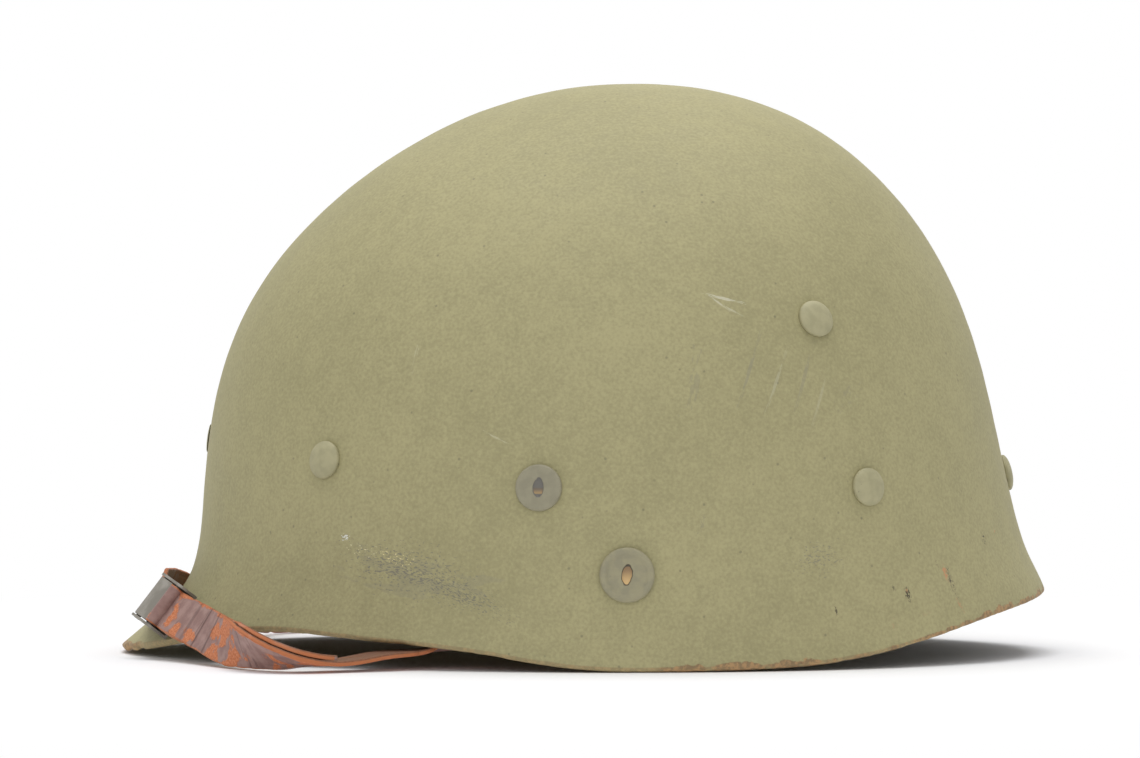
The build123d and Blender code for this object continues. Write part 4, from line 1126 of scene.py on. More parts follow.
@dataclass
class Heads:
    """Rivets, studs and the front eyelet, each a profile turned about its seat's normal."""

    dome: Dome
    columns: int = 96
    tail: float = -4.2
    shank: float = 2.0
    clinch: float = 3.6
    domed_radius: float = 5.35
    domed_height: float = 2.1
    domed_edge: float = 0.5
    flat_radius: float = 6.5
    flat_top: float = HEAD_LIFT + 1.3
    flat_corner: float = 0.7
    flat_slit: tuple[float, float, float, float] = (1.5, 2.6, 0.0, 0.35)
    stud_radius: float = 7.65
    stud_top: float = 1.7
    stud_corner: float = 0.8
    dish_radius: float = 5.0
    dish_depth: float = 0.45
    lip_width: float = 1.3
    stud_slit: tuple[float, float, float, float] = (1.45, 3.0, -9.0, 0.75)

    @staticmethod
    def curve(*stations: tuple[float, float]) -> np.ndarray:
        """Profile stations with two points between each pair, straight from one to the next."""
        stations = np.array(stations, float)
        steps = np.linspace(0, 1, 4)[:-1]
        legs = [a + (b - a) * s for a, b in zip(stations[:-1], stations[1:]) for s in steps]
        return np.array([*legs, stations[-1]])

    def turned(
        self,
        name: str,
        seat: Seat,
        profile: np.ndarray,
        material: bpy.types.Material,
        node: str,
        slit: tuple[float, float, float, float] | None = None,
        bored: bool = False,
    ) -> None:
        """Turn a profile, which runs from the outside in, and sink a slit into its face.

        The slit is an upright ellipse; the face sinks by a smooth step of the distance to it.

        Args:
            name: Name of the piece.
            seat: Where it sits.
            profile: Radius and height rows.
            material: Its finish.
            node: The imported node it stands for.
            slit: Half width, half length, lean in degrees and depth of the slit.
            bored: Whether the profile closes on itself round a bore.
        """
        turn = np.linspace(0, 2 * math.pi, self.columns, endpoint=False)
        x = profile[:, :1] * np.cos(turn)
        y = profile[:, :1] * np.sin(turn)
        z = np.broadcast_to(profile[:, 1:], x.shape)
        mask = np.zeros_like(x)
        depth = 0.0
        if slit:
            half, long, lean, depth = slit
            lean = math.radians(lean)
            across = x * math.cos(lean) + y * math.sin(lean)
            along = y * math.cos(lean) - x * math.sin(lean)
            gap = (np.hypot(across / half, along / long) - 1) * half
            ragged = gap + 0.12 * ripple(seat.place(x, y, z), 1.8, 11)
            mask = soft_step(0.15, -0.25, ragged) * (z > 0)
        points = seat.place(x, y, z - depth * mask)
        ends = profile[[0, -1], 1] - depth * np.array([mask[0].mean(), 0.0])
        poles = [seat.place(np.zeros(1), np.zeros(1), end)[0] for end in ends]
        face = np.stack([x * MM, y * MM, mask], -1).reshape(-1, 3)
        if bored:
            mesh = grid_mesh(name, points, ring=True, notes={"face": face})
        else:
            middle = np.array([[0.0, 0.0, mask[0].mean()], [0.0, 0.0, 0.0]])
            mesh = grid_mesh(name, points, *poles, notes={"face": np.vstack([face, middle])})
        add_piece(name, mesh, material, (node,))

    def domed(self) -> np.ndarray:
        """Domed head: height falls as (1 - (r/R)^2.2)^0.59 from the middle to the edge."""
        radius = self.domed_radius
        r = radius * np.sin(np.linspace(0.03, 1, 26) * math.pi / 2)
        fall = np.clip(1 - (r / radius) ** 2.2, 0, None) ** 0.59
        z = HEAD_LIFT + self.domed_edge + (self.domed_height - self.domed_edge) * fall
        return np.vstack([np.stack([r, z], -1), self.foot(radius)])

    def flat(self) -> np.ndarray:
        """Flat face with a quarter-round corner, closely divided where the slit lies."""
        edge = self.flat_radius - self.flat_corner
        face = np.stack([np.linspace(0.12, edge, 40), np.full(40, self.flat_top)], -1)
        corner = self.quarter(edge, self.flat_top - self.flat_corner, self.flat_corner)
        return np.vstack([face, corner, self.foot(self.flat_radius)])

    def stud(self) -> np.ndarray:
        """Dished face, raised lip, and below it the shank, the inner flange and the knob."""
        floor = self.stud_top - self.dish_depth
        dish = np.stack([np.linspace(0.12, self.dish_radius, 40), np.full(40, floor)], -1)
        lip = np.linspace(0, 1, 9)[1:]
        rise = np.stack(
            [self.dish_radius + self.lip_width * lip, floor + self.dish_depth * lip**2 * (3 - 2 * lip)], -1
        )
        corner = self.quarter(
            self.stud_radius - self.stud_corner, self.stud_top - self.stud_corner, self.stud_corner
        )
        under = self.curve(
            (self.stud_radius, 0.5),
            (self.stud_radius - 0.15, 0.2),
            (3.0, 0.2),
            (3.0, INNER_FACE),
            (6.0, INNER_FACE),
            (6.0, INNER_FACE - 1.0),
            (2.2, INNER_FACE - 1.0),
            (2.2, -5.9),
            (3.6, -6.9),
            (3.4, -7.7),
            (1.8, -8.1),
            (0.3, -8.1),
        )
        return np.vstack([dish, rise, corner, under])

    def eyelet(self) -> np.ndarray:
        """Rolled flange, barrel and inner flange, which close on themselves round the bore."""
        return self.curve(
            (1.9, 0.36),
            (2.3, 0.46),
            (2.7, 0.46),
            (3.8, 0.3),
            (4.2, 0.12),
            (4.1, 0.05),
            (2.5, 0.0),
            (2.5, INNER_FACE),
            (4.2, INNER_FACE - 0.02),
            (4.2, -3.4),
            (3.9, -3.5),
            (2.1, -3.5),
            (1.9, -3.3),
            (1.9, -3.0),
            (1.9, 0.2),
        )

    @staticmethod
    def quarter(radius: float, height: float, size: float) -> np.ndarray:
        """Quarter circle of a size, outwards and down from its top, which isn't repeated.

        Args:
            radius: Radius where the quarter starts.
            height: Height of its centre.
            size: Its own radius.

        Returns:
            Rows of radius and height.
        """
        bend = np.linspace(0, math.pi / 2, 7)[1:]
        return np.stack([radius + size * np.sin(bend), height + size * np.cos(bend)], -1)

    def foot(self, radius: float) -> np.ndarray:
        """From the head's edge down into the paint, along the shank and out to the clinched tail.

        Args:
            radius: Radius of the head.

        Returns:
            Rows of radius and height.
        """
        return self.curve(
            (radius, HEAD_LIFT + 0.3),
            (radius, HEAD_LIFT),
            (radius - 0.2, -0.3),
            (self.shank, -0.35),
            (self.shank, self.tail + 0.02),
            (self.clinch - 0.1, self.tail + 0.02),
            (self.clinch, self.tail - 0.3),
            (self.clinch - 0.6, self.tail - 1.1),
            (0.3, self.tail - 1.2),
        )

    def build(self, finishes: dict[str, bpy.types.Material]) -> None:
        """Make the nine rivets, the two studs and the eyelet.

        Args:
            finishes: The domed rivets', flat rivets', studs' and eyelet's finishes.
        """
        seats = {
            f"{name}_{side}": Seat(self.dome, sign * angle, level)
            for name, (angle, level) in RIVETS.items()
            for side, sign in SIDES.items()
        }
        seats["nape_rear"] = Seat(self.dome, *NAPE_REAR)
        flat = (self.flat(), finishes["flat"], self.flat_slit)
        domed = (self.domed(), finishes["domed"], None)
        for name, seat in seats.items():
            profile, finish, slit = flat if name.startswith("side") else domed
            self.turned(f"head_{name}", seat, profile, finish, f"rivet_{name}", slit)
        angle, level = STUD
        for side, sign in SIDES.items():
            seat = Seat(self.dome, sign * angle, level)
            node = f"chinstrap_stud_{side}"
            self.turned(
                f"stud_{side}", seat, self.stud(), finishes["stud"], node, self.stud_slit
            )
        seat = Seat(self.dome, *EYELET)
        self.turned(
            "eyelet", seat, self.eyelet(), finishes["eyelet"], "insignia_eyelet", bored=True
        )


def band_section(width: float, thick: float, corner: float, across: int = 14) -> np.ndarray:
    """Rounded rectangle as across and through rows, going round from the outer face.

    Args:
        width: Width of the strap.
        thick: Its thickness.
        corner: Radius of its corners.
        across: Points along each wide face.

    Returns:
        Points of the section, two values each.
    """
    corner = min(corner, thick / 2 - 0.01)
    half, low = width / 2 - corner, thick / 2 - corner
    line = np.linspace(-1, 1, across)[:-1]
    bend = np.linspace(0, math.pi / 2, 4)[:-1]
    top = np.stack([-half * line, np.full(len(line), thick / 2)], -1)
    left = np.stack([-half - corner * np.sin(bend), low + corner * np.cos(bend)], -1)
    left_low = np.stack([-half - corner * np.cos(bend), -low - corner * np.sin(bend)], -1)
    side = np.vstack([top, left, left_low])
    return np.vstack([side, -side])


@dataclass
class Ribbon:
    """A strap: a rounded section carried along a path that has its own ways across and out."""

    path: np.ndarray
    width_way: np.ndarray
    out_way: np.ndarray
    width: float
    thick: np.ndarray
    corner: float = 0.35
    wobble: float = 0.0
    face: np.ndarray | None = None
    closed: bool = False
    heights: np.ndarray | None = None

    def mesh(
        self, name: str, worn: np.ndarray | None = None, crease: np.ndarray | None = None
    ) -> bpy.types.Mesh:
        """Carry the section: point = path + across times the width way + through times out.

        Args:
            name: Name of the mesh.
            worn: How worn the face is at each row, from 0 to 1.
            crease: How deeply each row is creased, from 0 to 1.

        Returns:
            The mesh, with lay (run, across, through) and worn stored on its points.
        """
        steps = np.linalg.norm(np.diff(self.path, axis=0), axis=-1)
        run = np.concatenate([[0.0], np.cumsum(steps)])
        corner = min(self.corner, float(np.min(self.thick)) / 2 - 0.01)
        section = band_section(self.width, float(np.max(self.thick)), corner)
        heading = unit(np.gradient(self.path, axis=0))
        facing = np.sum(np.cross(heading, self.out_way) * self.width_way, -1).mean()
        if facing > 0:
            section = section[::-1]
        across = np.broadcast_to(section[None, :, 0], (len(run), len(section)))
        scale = (self.thick / np.max(self.thick))[:, None]
        through = section[None, :, 1] * scale
        across = across * (1.0 if self.heights is None else self.heights[:, None] / self.width)
        points = (
            self.path[:, None]
            + across[..., None] * self.width_way[:, None]
            + through[..., None] * self.out_way[:, None]
        )
        if self.wobble:
            shake = self.wobble * ripple(points, 7.0, 21) * np.abs(across) / (self.width / 2)
            inwards = np.sign(across) * np.minimum(shake, 0)
            points = points + inwards[..., None] * self.width_way[:, None]
        sign = np.ones(len(run)) if self.face is None else self.face
        lay = np.stack([np.broadcast_to(run[:, None], across.shape), across, through * sign[:, None]], -1)
        rows = {"worn": worn, "crease": crease}
        spread = {
            key: np.repeat(np.zeros(len(run)) if row is None else row, len(section))
            for key, row in rows.items()
        }
        if self.closed:
            notes = {"lay": lay.reshape(-1, 3) * MM, **spread}
            return grid_mesh(name, points, ring=True, notes=notes)
        ends = np.array([[run[0], 0, 0], [run[-1], 0, 0]])
        notes = {
            "lay": np.vstack([lay.reshape(-1, 3), ends]) * MM,
            **{key: np.append(values, [values[0], values[-1]]) for key, values in spread.items()},
        }
        return grid_mesh(name, points, self.path[0], self.path[-1], notes)


@dataclass
class Chinstrap:
    """The leather strap's two parts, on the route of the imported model."""

    dome: Dome
    width: float = 12.7
    leather: float = 1.4
    layer: float = 1.7
    step: float = 0.8
    stations: tuple[tuple[float, ...], ...] = (
        (-0.9122, -0.0000, 1.465, -20.0),
        (-0.9107, -0.1490, 1.425, -24.0),
        (-0.9090, -0.2939, 1.375, -36.0),
        (-0.8545, -0.4430, 1.085, -36.0),
        (-0.7807, -0.6140, 0.790, -29.0),
        (-0.7226, -0.7895, 0.560, -8.0),
        (-0.6645, -0.9298, 0.470, 34.0),
        (-0.6100, -0.9825, 0.322, 60.0),
        (-0.5665, -0.9877, 0.225, 78.0),
        (-0.5229, -0.9649, 0.185, 87.0),
        (-0.4684, -0.9298, 0.228, 90.0),
        (-0.4140, -0.8912, 0.325, 90.0),
        (-0.3631, -0.8544, 0.370, 90.0),
        (-0.3159, -0.8263, 0.425, 84.0),
        (-0.2542, -0.8088, 0.660, 62.0),
        (-0.1743, -0.8202, 0.985, 36.0),
        (-0.0944, -0.8596, 1.340, 14.0),
    )
    strap_depth: float = -6.3
    clip_reach: float = 22.0
    rivet_place: float = 17.0
    bar_place: float = 4.7
    bar_rise: float = 1.45
    loop_radius: float = 1.575
    loop_leather: float = 1.15
    tail_share: float = 0.51
    creases: tuple[float, ...] = (66.0, 74.4, 82.5)

    def __post_init__(self) -> None:
        """Lay the route and the buckle's frame."""
        scale = np.array([self.dome.length / 2, self.dome.width / 2, self.width, 1.0])
        route = np.array(self.stations) * scale
        stud = Seat(self.dome, SIDES["left"] * STUD[0], STUD[1])
        local = route[-1, :3] - stud.origin
        way = unit(np.array([local @ stud.x, local @ stud.y]))
        ends = [
            [*(stud.origin + stud.x * way[0] * r + stud.y * way[1] * r + stud.n * self.strap_depth), 0.0]
            for r in (self.clip_reach, self.rivet_place - self.width / 2)
        ]
        self.route = np.vstack([route, ends])
        legs = np.linalg.norm(np.diff(self.route[:, :3], axis=0), axis=-1)
        self.run = np.concatenate([[0.0], np.cumsum(legs)])
        self.curve = NaturalCurve(self.run, self.route)
        self.stud = stud
        middle = (self.route[2] + self.route[3]) / 2
        self.middle = middle[:3]
        self.heading = unit(self.route[3, :3] - self.route[2, :3])
        level, up = self.level_and_up(self.heading[None], np.array([[-1.0, -1.0, 0.0]]))
        lean = np.radians(middle[3])
        self.out = np.cos(lean) * level[0] - np.sin(lean) * up[0]
        self.across = np.cos(lean) * up[0] + np.sin(lean) * level[0]

    @staticmethod
    def level_and_up(heading: np.ndarray, outward: np.ndarray) -> tuple[np.ndarray, np.ndarray]:
        """Level way that points outwards and the upward way, both square to the heading.

        Args:
            heading: Way along the strap.
            outward: Way away from the dome.

        Returns:
            The level way and the upward way.
        """
        level = unit(np.cross(heading, [0.0, 0.0, 1.0]))
        level = level * np.sign(np.sum(level * outward, -1, keepdims=True))
        up = np.cross(level, heading)
        return level, up * np.sign(up[..., 2:])

    @staticmethod
    def soften(rows: np.ndarray, reach: int = 3) -> np.ndarray:
        """Average each row with its neighbours, with the ends held.

        Args:
            rows: Rows to average.
            reach: Number of neighbours on each side.

        Returns:
            The averaged rows.
        """
        weights = np.hanning(2 * reach + 3)[1:-1]
        weights = weights / weights.sum()
        padded = np.vstack([rows[:1]] * reach + [rows] + [rows[-1:]] * reach)
        mixed = sum(w * padded[i:i + len(rows)] for i, w in enumerate(weights))
        hold = np.minimum(np.arange(len(rows)), np.arange(len(rows))[::-1])[:, None]
        return np.where(hold < reach, rows, mixed)

    def frames(self, runs: np.ndarray) -> tuple[np.ndarray, np.ndarray, np.ndarray]:
        """Centre, way across and way out of the strap on the left side at each run.

        Args:
            runs: Lengths along the strap.

        Returns:
            The centres and the two ways.
        """
        nudge = 0.25
        values = self.curve(runs)
        ahead = self.curve(np.minimum(runs + nudge, self.run[-1]))[:, :3]
        behind = self.curve(np.maximum(runs - nudge, 0.0))[:, :3]
        heading = unit(ahead - behind)
        heading[runs < nudge] = (0.0, -1.0, 0.0)
        spot = values[:, :3]
        level, up = self.level_and_up(heading, spot * np.array([1.0, 1.0, 0.0]))
        lean = np.radians(values[:, 3:])
        across = np.cos(lean) * up + np.sin(lean) * level
        out = np.cos(lean) * level - np.sin(lean) * up
        held = (runs >= self.run[2]) & (runs <= self.run[3])
        half = (self.run[3] - self.run[2]) / 2
        share = (runs - self.run[2]) / half - 1
        spot = np.where(held[:, None], self.middle + self.heading * half * share[:, None], spot)
        across = np.where(held[:, None], self.across, across)
        out = np.where(held[:, None], self.out, out)
        end = runs >= self.run[-2]
        share = ((runs - self.run[-2]) / (self.run[-1] - self.run[-2]))[:, None]
        line = self.route[-2, :3] * (1 - share) + self.route[-1, :3] * share
        way = unit(self.route[-1, :3] - self.route[-2, :3])
        flat = np.cross(way, self.stud.n)
        flat = flat * np.sign(flat[2])
        spot = np.where(end[:, None], line, spot)
        across = np.where(end[:, None], flat, across)
        out = np.where(end[:, None], self.stud.n, out)
        return spot, across, out

    def build(self, leather: bpy.types.Material) -> None:
        """Make the short left part with its loop round the bar, and the long part with its tail.

        Args:
            leather: Material of the strap.
        """
        bar_run = (self.run[2] + self.run[3]) / 2 + self.bar_place
        short_run = np.arange(self.run[-1], bar_run + 1.4, -self.step)
        spot, across, out = self.frames(short_run)
        swing = np.radians(np.linspace(-60, -395, 30))
        ring = (
            self.middle
            + np.outer(self.bar_place + self.loop_radius * np.cos(swing), self.heading)
            + np.outer(self.bar_rise + self.loop_radius * np.sin(swing), self.out)
        )
        ring_out = -(np.outer(np.cos(swing), self.heading) + np.outer(np.sin(swing), self.out))
        path = self.soften(np.vstack([spot, ring]), 1)
        width_way = unit(np.vstack([across, np.tile(self.across, (len(ring), 1))]))
        out_way = unit(np.vstack([out, ring_out]))
        thick = np.concatenate([np.full(len(spot), self.leather), np.full(len(ring), self.loop_leather)])
        thick = self.soften(thick[:, None], 3)[:, 0]
        face = np.concatenate([np.ones(len(spot)), -np.ones(len(ring))])
        spans = np.concatenate([short_run, np.full(len(ring), bar_run)])
        worn = 0.10 + 0.75 * soft_step(14.0, 4.0, np.abs(spans - self.run[5] - 1.0))
        worn = worn + 0.25 * soft_step(30.0, 10.0, np.abs(spans - self.run[7] - 8.0))
        crease = sum(np.exp(-(((spans - place) / 0.5) ** 2)) for place in self.creases)
        strap = Ribbon(path, width_way, out_way, self.width, thick, 0.3, 0.25, face)
        mesh = strap.mesh("chinstrap_short_leather", np.clip(worn, 0, 1), crease)
        add_piece("chinstrap_short_leather", mesh, leather, ("chinstrap_short",))

        far = np.arange(self.run[-1], 0.0, -self.step)
        spot, across, out = self.frames(far)
        mirror = np.array([1.0, -1.0, 1.0])
        tail_end = self.run[3] + (self.run[-1] - self.run[3]) * self.tail_share
        near = np.arange(0.0, tail_end, self.step)
        near_spot, near_across, near_out = self.frames(near)
        shift = self.layer * np.minimum(1.0, near / self.run[2]) ** 2
        near_spot = near_spot - near_out * shift[:, None]
        path = self.soften(np.vstack([spot * mirror, near_spot]), 3)
        width_way = unit(self.soften(np.vstack([across * mirror, near_across]), 3))
        out_way = unit(self.soften(np.vstack([out * mirror, near_out]), 3))
        heights = np.full(len(path), self.width)
        heights[-5:] = self.width * np.array([0.99, 0.975, 0.95, 0.91, 0.86])
        thick = np.full(len(path), self.leather)
        strap = Ribbon(path, width_way, out_way, self.width, thick, 0.3, 0.25, heights=heights)
        mesh = strap.mesh("chinstrap_long_leather", np.full(len(path), 0.2))
        add_piece("chinstrap_long_leather", mesh, leather, ("chinstrap_long",))


@dataclass
class WasherBar:
    """Bar at the foot of a bent washer: where it is, and the ways along it and inwards."""

    seat: Seat
    oval: tuple[float, float]
    head_x: float
    inset: float = WALL + 0.7 + 0.5
    fold_drop: float = 7.0
    leg: float = 18.0

    def __post_init__(self) -> None:
        """Find the lean that puts the bar on the oval, by halving the range."""
        fold = self.seat.origin - self.seat.n * self.inset - self.seat.y * self.fold_drop
        self.inward = unit(np.array([-self.seat.n[0], -self.seat.n[1], 0.0]))
        low, high = -60.0, 75.0
        while high - low > 0.001:
            lean = math.radians((low + high) / 2)
            down = self.inward * math.sin(lean) - np.array([0.0, 0.0, math.cos(lean)])
            self.bar = fold + down * self.leg
            place = ((self.bar[0] - self.head_x) / self.oval[0]) ** 2 + (self.bar[1] / self.oval[1]) ** 2
            low, high = (math.degrees(lean), high) if place > 1 else (low, math.degrees(lean))


@dataclass
class Webbing:
    """Headband, sweatband, crown straps and nape strap."""

    dome: Dome
    web: float = 1.6
    leather: float = 1.6
    band_gap: float = 1.6
    head: tuple[float, float] = (100.0, 83.0)
    band_height: float = 24.0
    leather_height: float = 32.0
    size_strap_height: float = 19.0
    size_strap_angle: float = 26.0
    trim: float = 0.6
    strap_width: float = 18.6
    nape_width: float = 19.0
    nape_level_share: float = 0.150
    nape_clearance: float = 13.0
    nape_start: float = 64.7
    crown_drop: float = 22.0
    crown_step: float = 3.1
    straight: float = 9.0
    bars: dict[str, WasherBar] = field(default_factory=dict)

    def __post_init__(self) -> None:
        """Work out the ovals, the washers' bars and the band's line."""
        self.head_x = 0.018 * self.dome.length
        self.leather_out = np.array(self.head) + self.leather
        self.band_mid = self.leather_out + self.band_gap + self.web / 2
        self.band_out = self.leather_out + self.band_gap + self.web
        self.loop_mid = math.hypot(4.0, 1.0) / 2 + 0.4 + self.web / 2
        oval = tuple(self.band_out + 2.2 + self.loop_mid + self.web / 2)
        for name in ("front", "side", "rear"):
            angle, level = RIVETS[name]
            for side, sign in SIDES.items():
                seat = Seat(self.dome, sign * angle, level)
                self.bars[f"{name}_{side}"] = WasherBar(seat, oval, self.head_x)
        line = [
            (-self.band_out[0] + self.head_x, self.bars["front_left"].bar[2] + 2.4),
            *((self.bars[n].bar[0], self.bars[n].bar[2]) for n in ("front_left", "side_left", "rear_left")),
            (self.band_out[0] + self.head_x, self.bars["rear_left"].bar[2] + 8.4),
        ]
        table = np.array(line)
        self.level = NaturalCurve(table[:, 0], table[:, 1])

    def oval_band(self, half: np.ndarray, thick: float, height: object, name: str) -> bpy.types.Mesh:
        """Upright band on an oval: its middle follows the band's line seen from the side.

        Args:
            half: Half length and half width of its middle line.
            thick: Its thickness.
            height: Its height, one or one for each station.
            name: Name of the mesh.

        Returns:
            The closed band.
        """
        turn = np.linspace(0, 2 * math.pi, 420, endpoint=False)
        x = self.head_x + half[0] * np.cos(turn)
        path = np.stack([x, half[1] * np.sin(turn), self.level(x)[..., 0]], -1)
        out = unit(np.stack([np.cos(turn) / half[0], np.sin(turn) / half[1], 0 * turn], -1))
        up = np.tile([0.0, 0.0, 1.0], (len(turn), 1))
        heights = np.broadcast_to(height, turn.shape) + 0.5 * ripple(path, 30.0, 31)
        width = float(heights.max())
        strap = Ribbon(path, up, out, width, np.full(len(turn), thick), 0.5, closed=True, heights=heights)
        return strap.mesh(name)

    def crown_strap(self, name: str, first: str, second: str, drop: float, web: bpy.types.Material) -> None:
        """Strap from one bar over the head to the other, with a sewn loop round each bar.

        The path goes once round each bar, rises straight for 9 mm and then follows a quarter
        ellipse to the crown on each side.

        Args:
            name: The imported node.
            first: Bar where it starts.
            second: Bar where it ends.
            drop: Depth of its middle under the shell's inside.
            web: Its finish.
        """
        bars = [self.bars[first], self.bars[second]]
        ends = [b.bar + b.inward * self.loop_mid for b in bars]
        flat = (ends[1] - ends[0]) * np.array([1.0, 1.0, 0.0])
        length = float(np.linalg.norm(flat))
        along = flat / length
        middle = float((np.array([self.bars["side_left"].bar[0], 0, 0]) - ends[0]) @ along)
        origin = np.array([ends[0][0], ends[0][1], 0.0]) + along * middle
        top = self.dome.height - self.dome.wall - drop
        halves = []
        for reach, end, way in ((middle, ends[0], -1), (length - middle, ends[1], 1)):
            start = end[2] + self.straight
            swing = np.radians(np.linspace(90, 0, 60))
            arc = np.stack([way * reach * np.cos(swing), start + (top - start) * np.sin(swing)], -1)
            fall = np.stack([np.full(12, way * reach), np.linspace(start - 0.7, end[2], 12)], -1)
            turn = np.radians(np.linspace(0, 322, 34))[1:]
            aside = way * (reach + self.loop_mid * (1 - np.cos(turn)))
            ring = np.stack([aside, end[2] - self.loop_mid * np.sin(turn)], -1)
            halves.append(np.vstack([arc, fall, ring]))
        profile = np.vstack([halves[0][::-1], halves[1][1:]])
        slope = unit(np.gradient(profile, axis=0))
        up = np.array([0.0, 0.0, 1.0])
        path = origin + profile[:, :1] * along + profile[:, 1:] * up
        out = -slope[:, 1:] * along + slope[:, :1] * up
        width_way = np.tile(np.cross(along, [0.0, 0.0, 1.0]), (len(path), 1))
        strap = Ribbon(
            path, width_way, unit(out), self.strap_width, np.full(len(path), self.web), 0.5, 0.15
        )
        add_piece(f"{name}_web", strap.mesh(name), web, (name,))

    def nape(self, web: bpy.types.Material) -> None:
        """Strap round the back of the neck: half an oval that ends in a loop at each side bar.

        Args:
            web: Material of the webbing.
        """
        depth = self.dome.depth_of(self.nape_level_share * self.dome.height)
        turn = np.radians(np.array([0.0, 90.0]))
        point, normal, _ = self.dome.frame(turn, depth)
        inner = point - normal * self.dome.wall
        out_half = np.array([inner[0, 0] - self.head_x, inner[1, 1]]) - self.nape_clearance
        mid = out_half - self.web / 2
        oval = tuple(out_half + self.loop_mid - self.web / 2)
        angle, level = RIVETS["nape"]
        side = WasherBar(Seat(self.dome, -angle, level), oval, self.head_x)
        rear = WasherBar(Seat(self.dome, *NAPE_REAR), oval, self.head_x)
        start = math.acos(np.clip((side.bar[0] - self.head_x) / oval[0], -1, 1)) + 0.02
        swing = np.linspace(-start, start, 170)
        x = self.head_x + mid[0] * np.cos(swing)
        share = (x - self.nape_start) / (self.dome.length / 2 - self.nape_start)
        z = side.bar[2] + (rear.bar[2] - side.bar[2]) * np.clip(share, 0, 1)
        path = np.stack([x, mid[1] * np.sin(swing), z], -1)
        out = unit(np.stack([np.cos(swing) / mid[0], np.sin(swing) / mid[1], 0 * swing], -1))
        up = np.tile([0.0, 0.0, 1.0], (len(swing), 1))
        strap = Ribbon(path, up, out, self.nape_width, np.full(len(swing), self.web), 0.5, 0.15)
        add_piece("nape_strap_web", strap.mesh("nape_strap_web"), web, ("nape_strap",))
        for label, bar, way in (("left", side, 1.0), ("right", side, -1.0), ("rear", rear, 1.0)):
            flip = np.array([1.0, way, 1.0])
            centre = bar.bar * flip
            inward = bar.inward * flip
            turn = np.linspace(0, 2 * math.pi, 48, endpoint=False)
            ring_out = np.outer(np.cos(turn), inward) + np.outer(np.sin(turn), [0.0, 0.0, 1.0])
            ring = centre + ring_out * self.loop_mid
            wide = np.tile(unit(np.cross(inward, [0.0, 0.0, 1.0])), (len(turn), 1))
            thick = np.full(len(turn), self.web - 0.1)
            loop = Ribbon(ring, wide, ring_out, self.strap_width, thick, 0.5, closed=True)
            add_piece(f"nape_loop_{label}", loop.mesh(f"nape_loop_{label}"), web, ())

    def build(self, web: bpy.types.Material, leather: bpy.types.Material) -> None:
        """Make every strap inside the shell.

        Args:
            web: Material of the webbing.
            leather: Material of the sweatband.
        """
        mesh = self.oval_band(self.band_mid, self.web, self.band_height, "suspension_band_web")
        add_piece("suspension_band_web", mesh, web, ("suspension_band",))
        turn = np.linspace(0, 2 * math.pi, 420, endpoint=False)
        middle = self.leather_out - self.leather / 2
        x = self.head_x + middle[0] * np.cos(turn)
        start = self.head_x + self.head[0] * math.cos(math.radians(self.size_strap_angle))
        narrow = soft_step(start - 2.0, start + 2.0, x)
        height = self.leather_height + (self.size_strap_height - self.leather_height) * narrow
        mesh = self.oval_band(middle, self.leather - 0.05, height - self.trim, "sweatband_leather")
        add_piece("sweatband_leather", mesh, leather, ("sweatband",))
        pairs = (
            ("front", "front_left", "rear_right"),
            ("side", "side_left", "side_right"),
            ("rear", "front_right", "rear_left"),
        )
        for place, (name, first, second) in enumerate(pairs):
            drop = self.crown_drop + (len(pairs) - 1 - place) * self.crown_step
            self.crown_strap(f"crown_strap_{name}", first, second, drop, web)
        self.nape(web)


@dataclass
class Hardware:
    """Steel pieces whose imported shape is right: they get a finish and softened edges."""

    frame: dict

    def dress(self, prefix: str, material: bpy.types.Material, slot: Slot, edge: float) -> None:
        """Give each node of a prefix its finish.

        Args:
            prefix: Start of the nodes' names.
            material: The finish.
            slot: The record's slot; not used.
            edge: Width of the softened edges.
        """
        for name in sorted(n for n in self.frame["nodes"] if n.startswith(prefix)):
            node = self.frame["nodes"][name]
            node.data.materials.clear()
            node.data.materials.append(material)
            weld = node.modifiers.new("joined", "WELD")
            weld.merge_threshold = 0.00002
            bevel = node.modifiers.new("softened", "BEVEL")
            bevel.width, bevel.segments = edge * MM, 2
            bevel.limit_method, bevel.angle_limit = "ANGLE", math.radians(35)
            LOG.info("%s: finished", name)


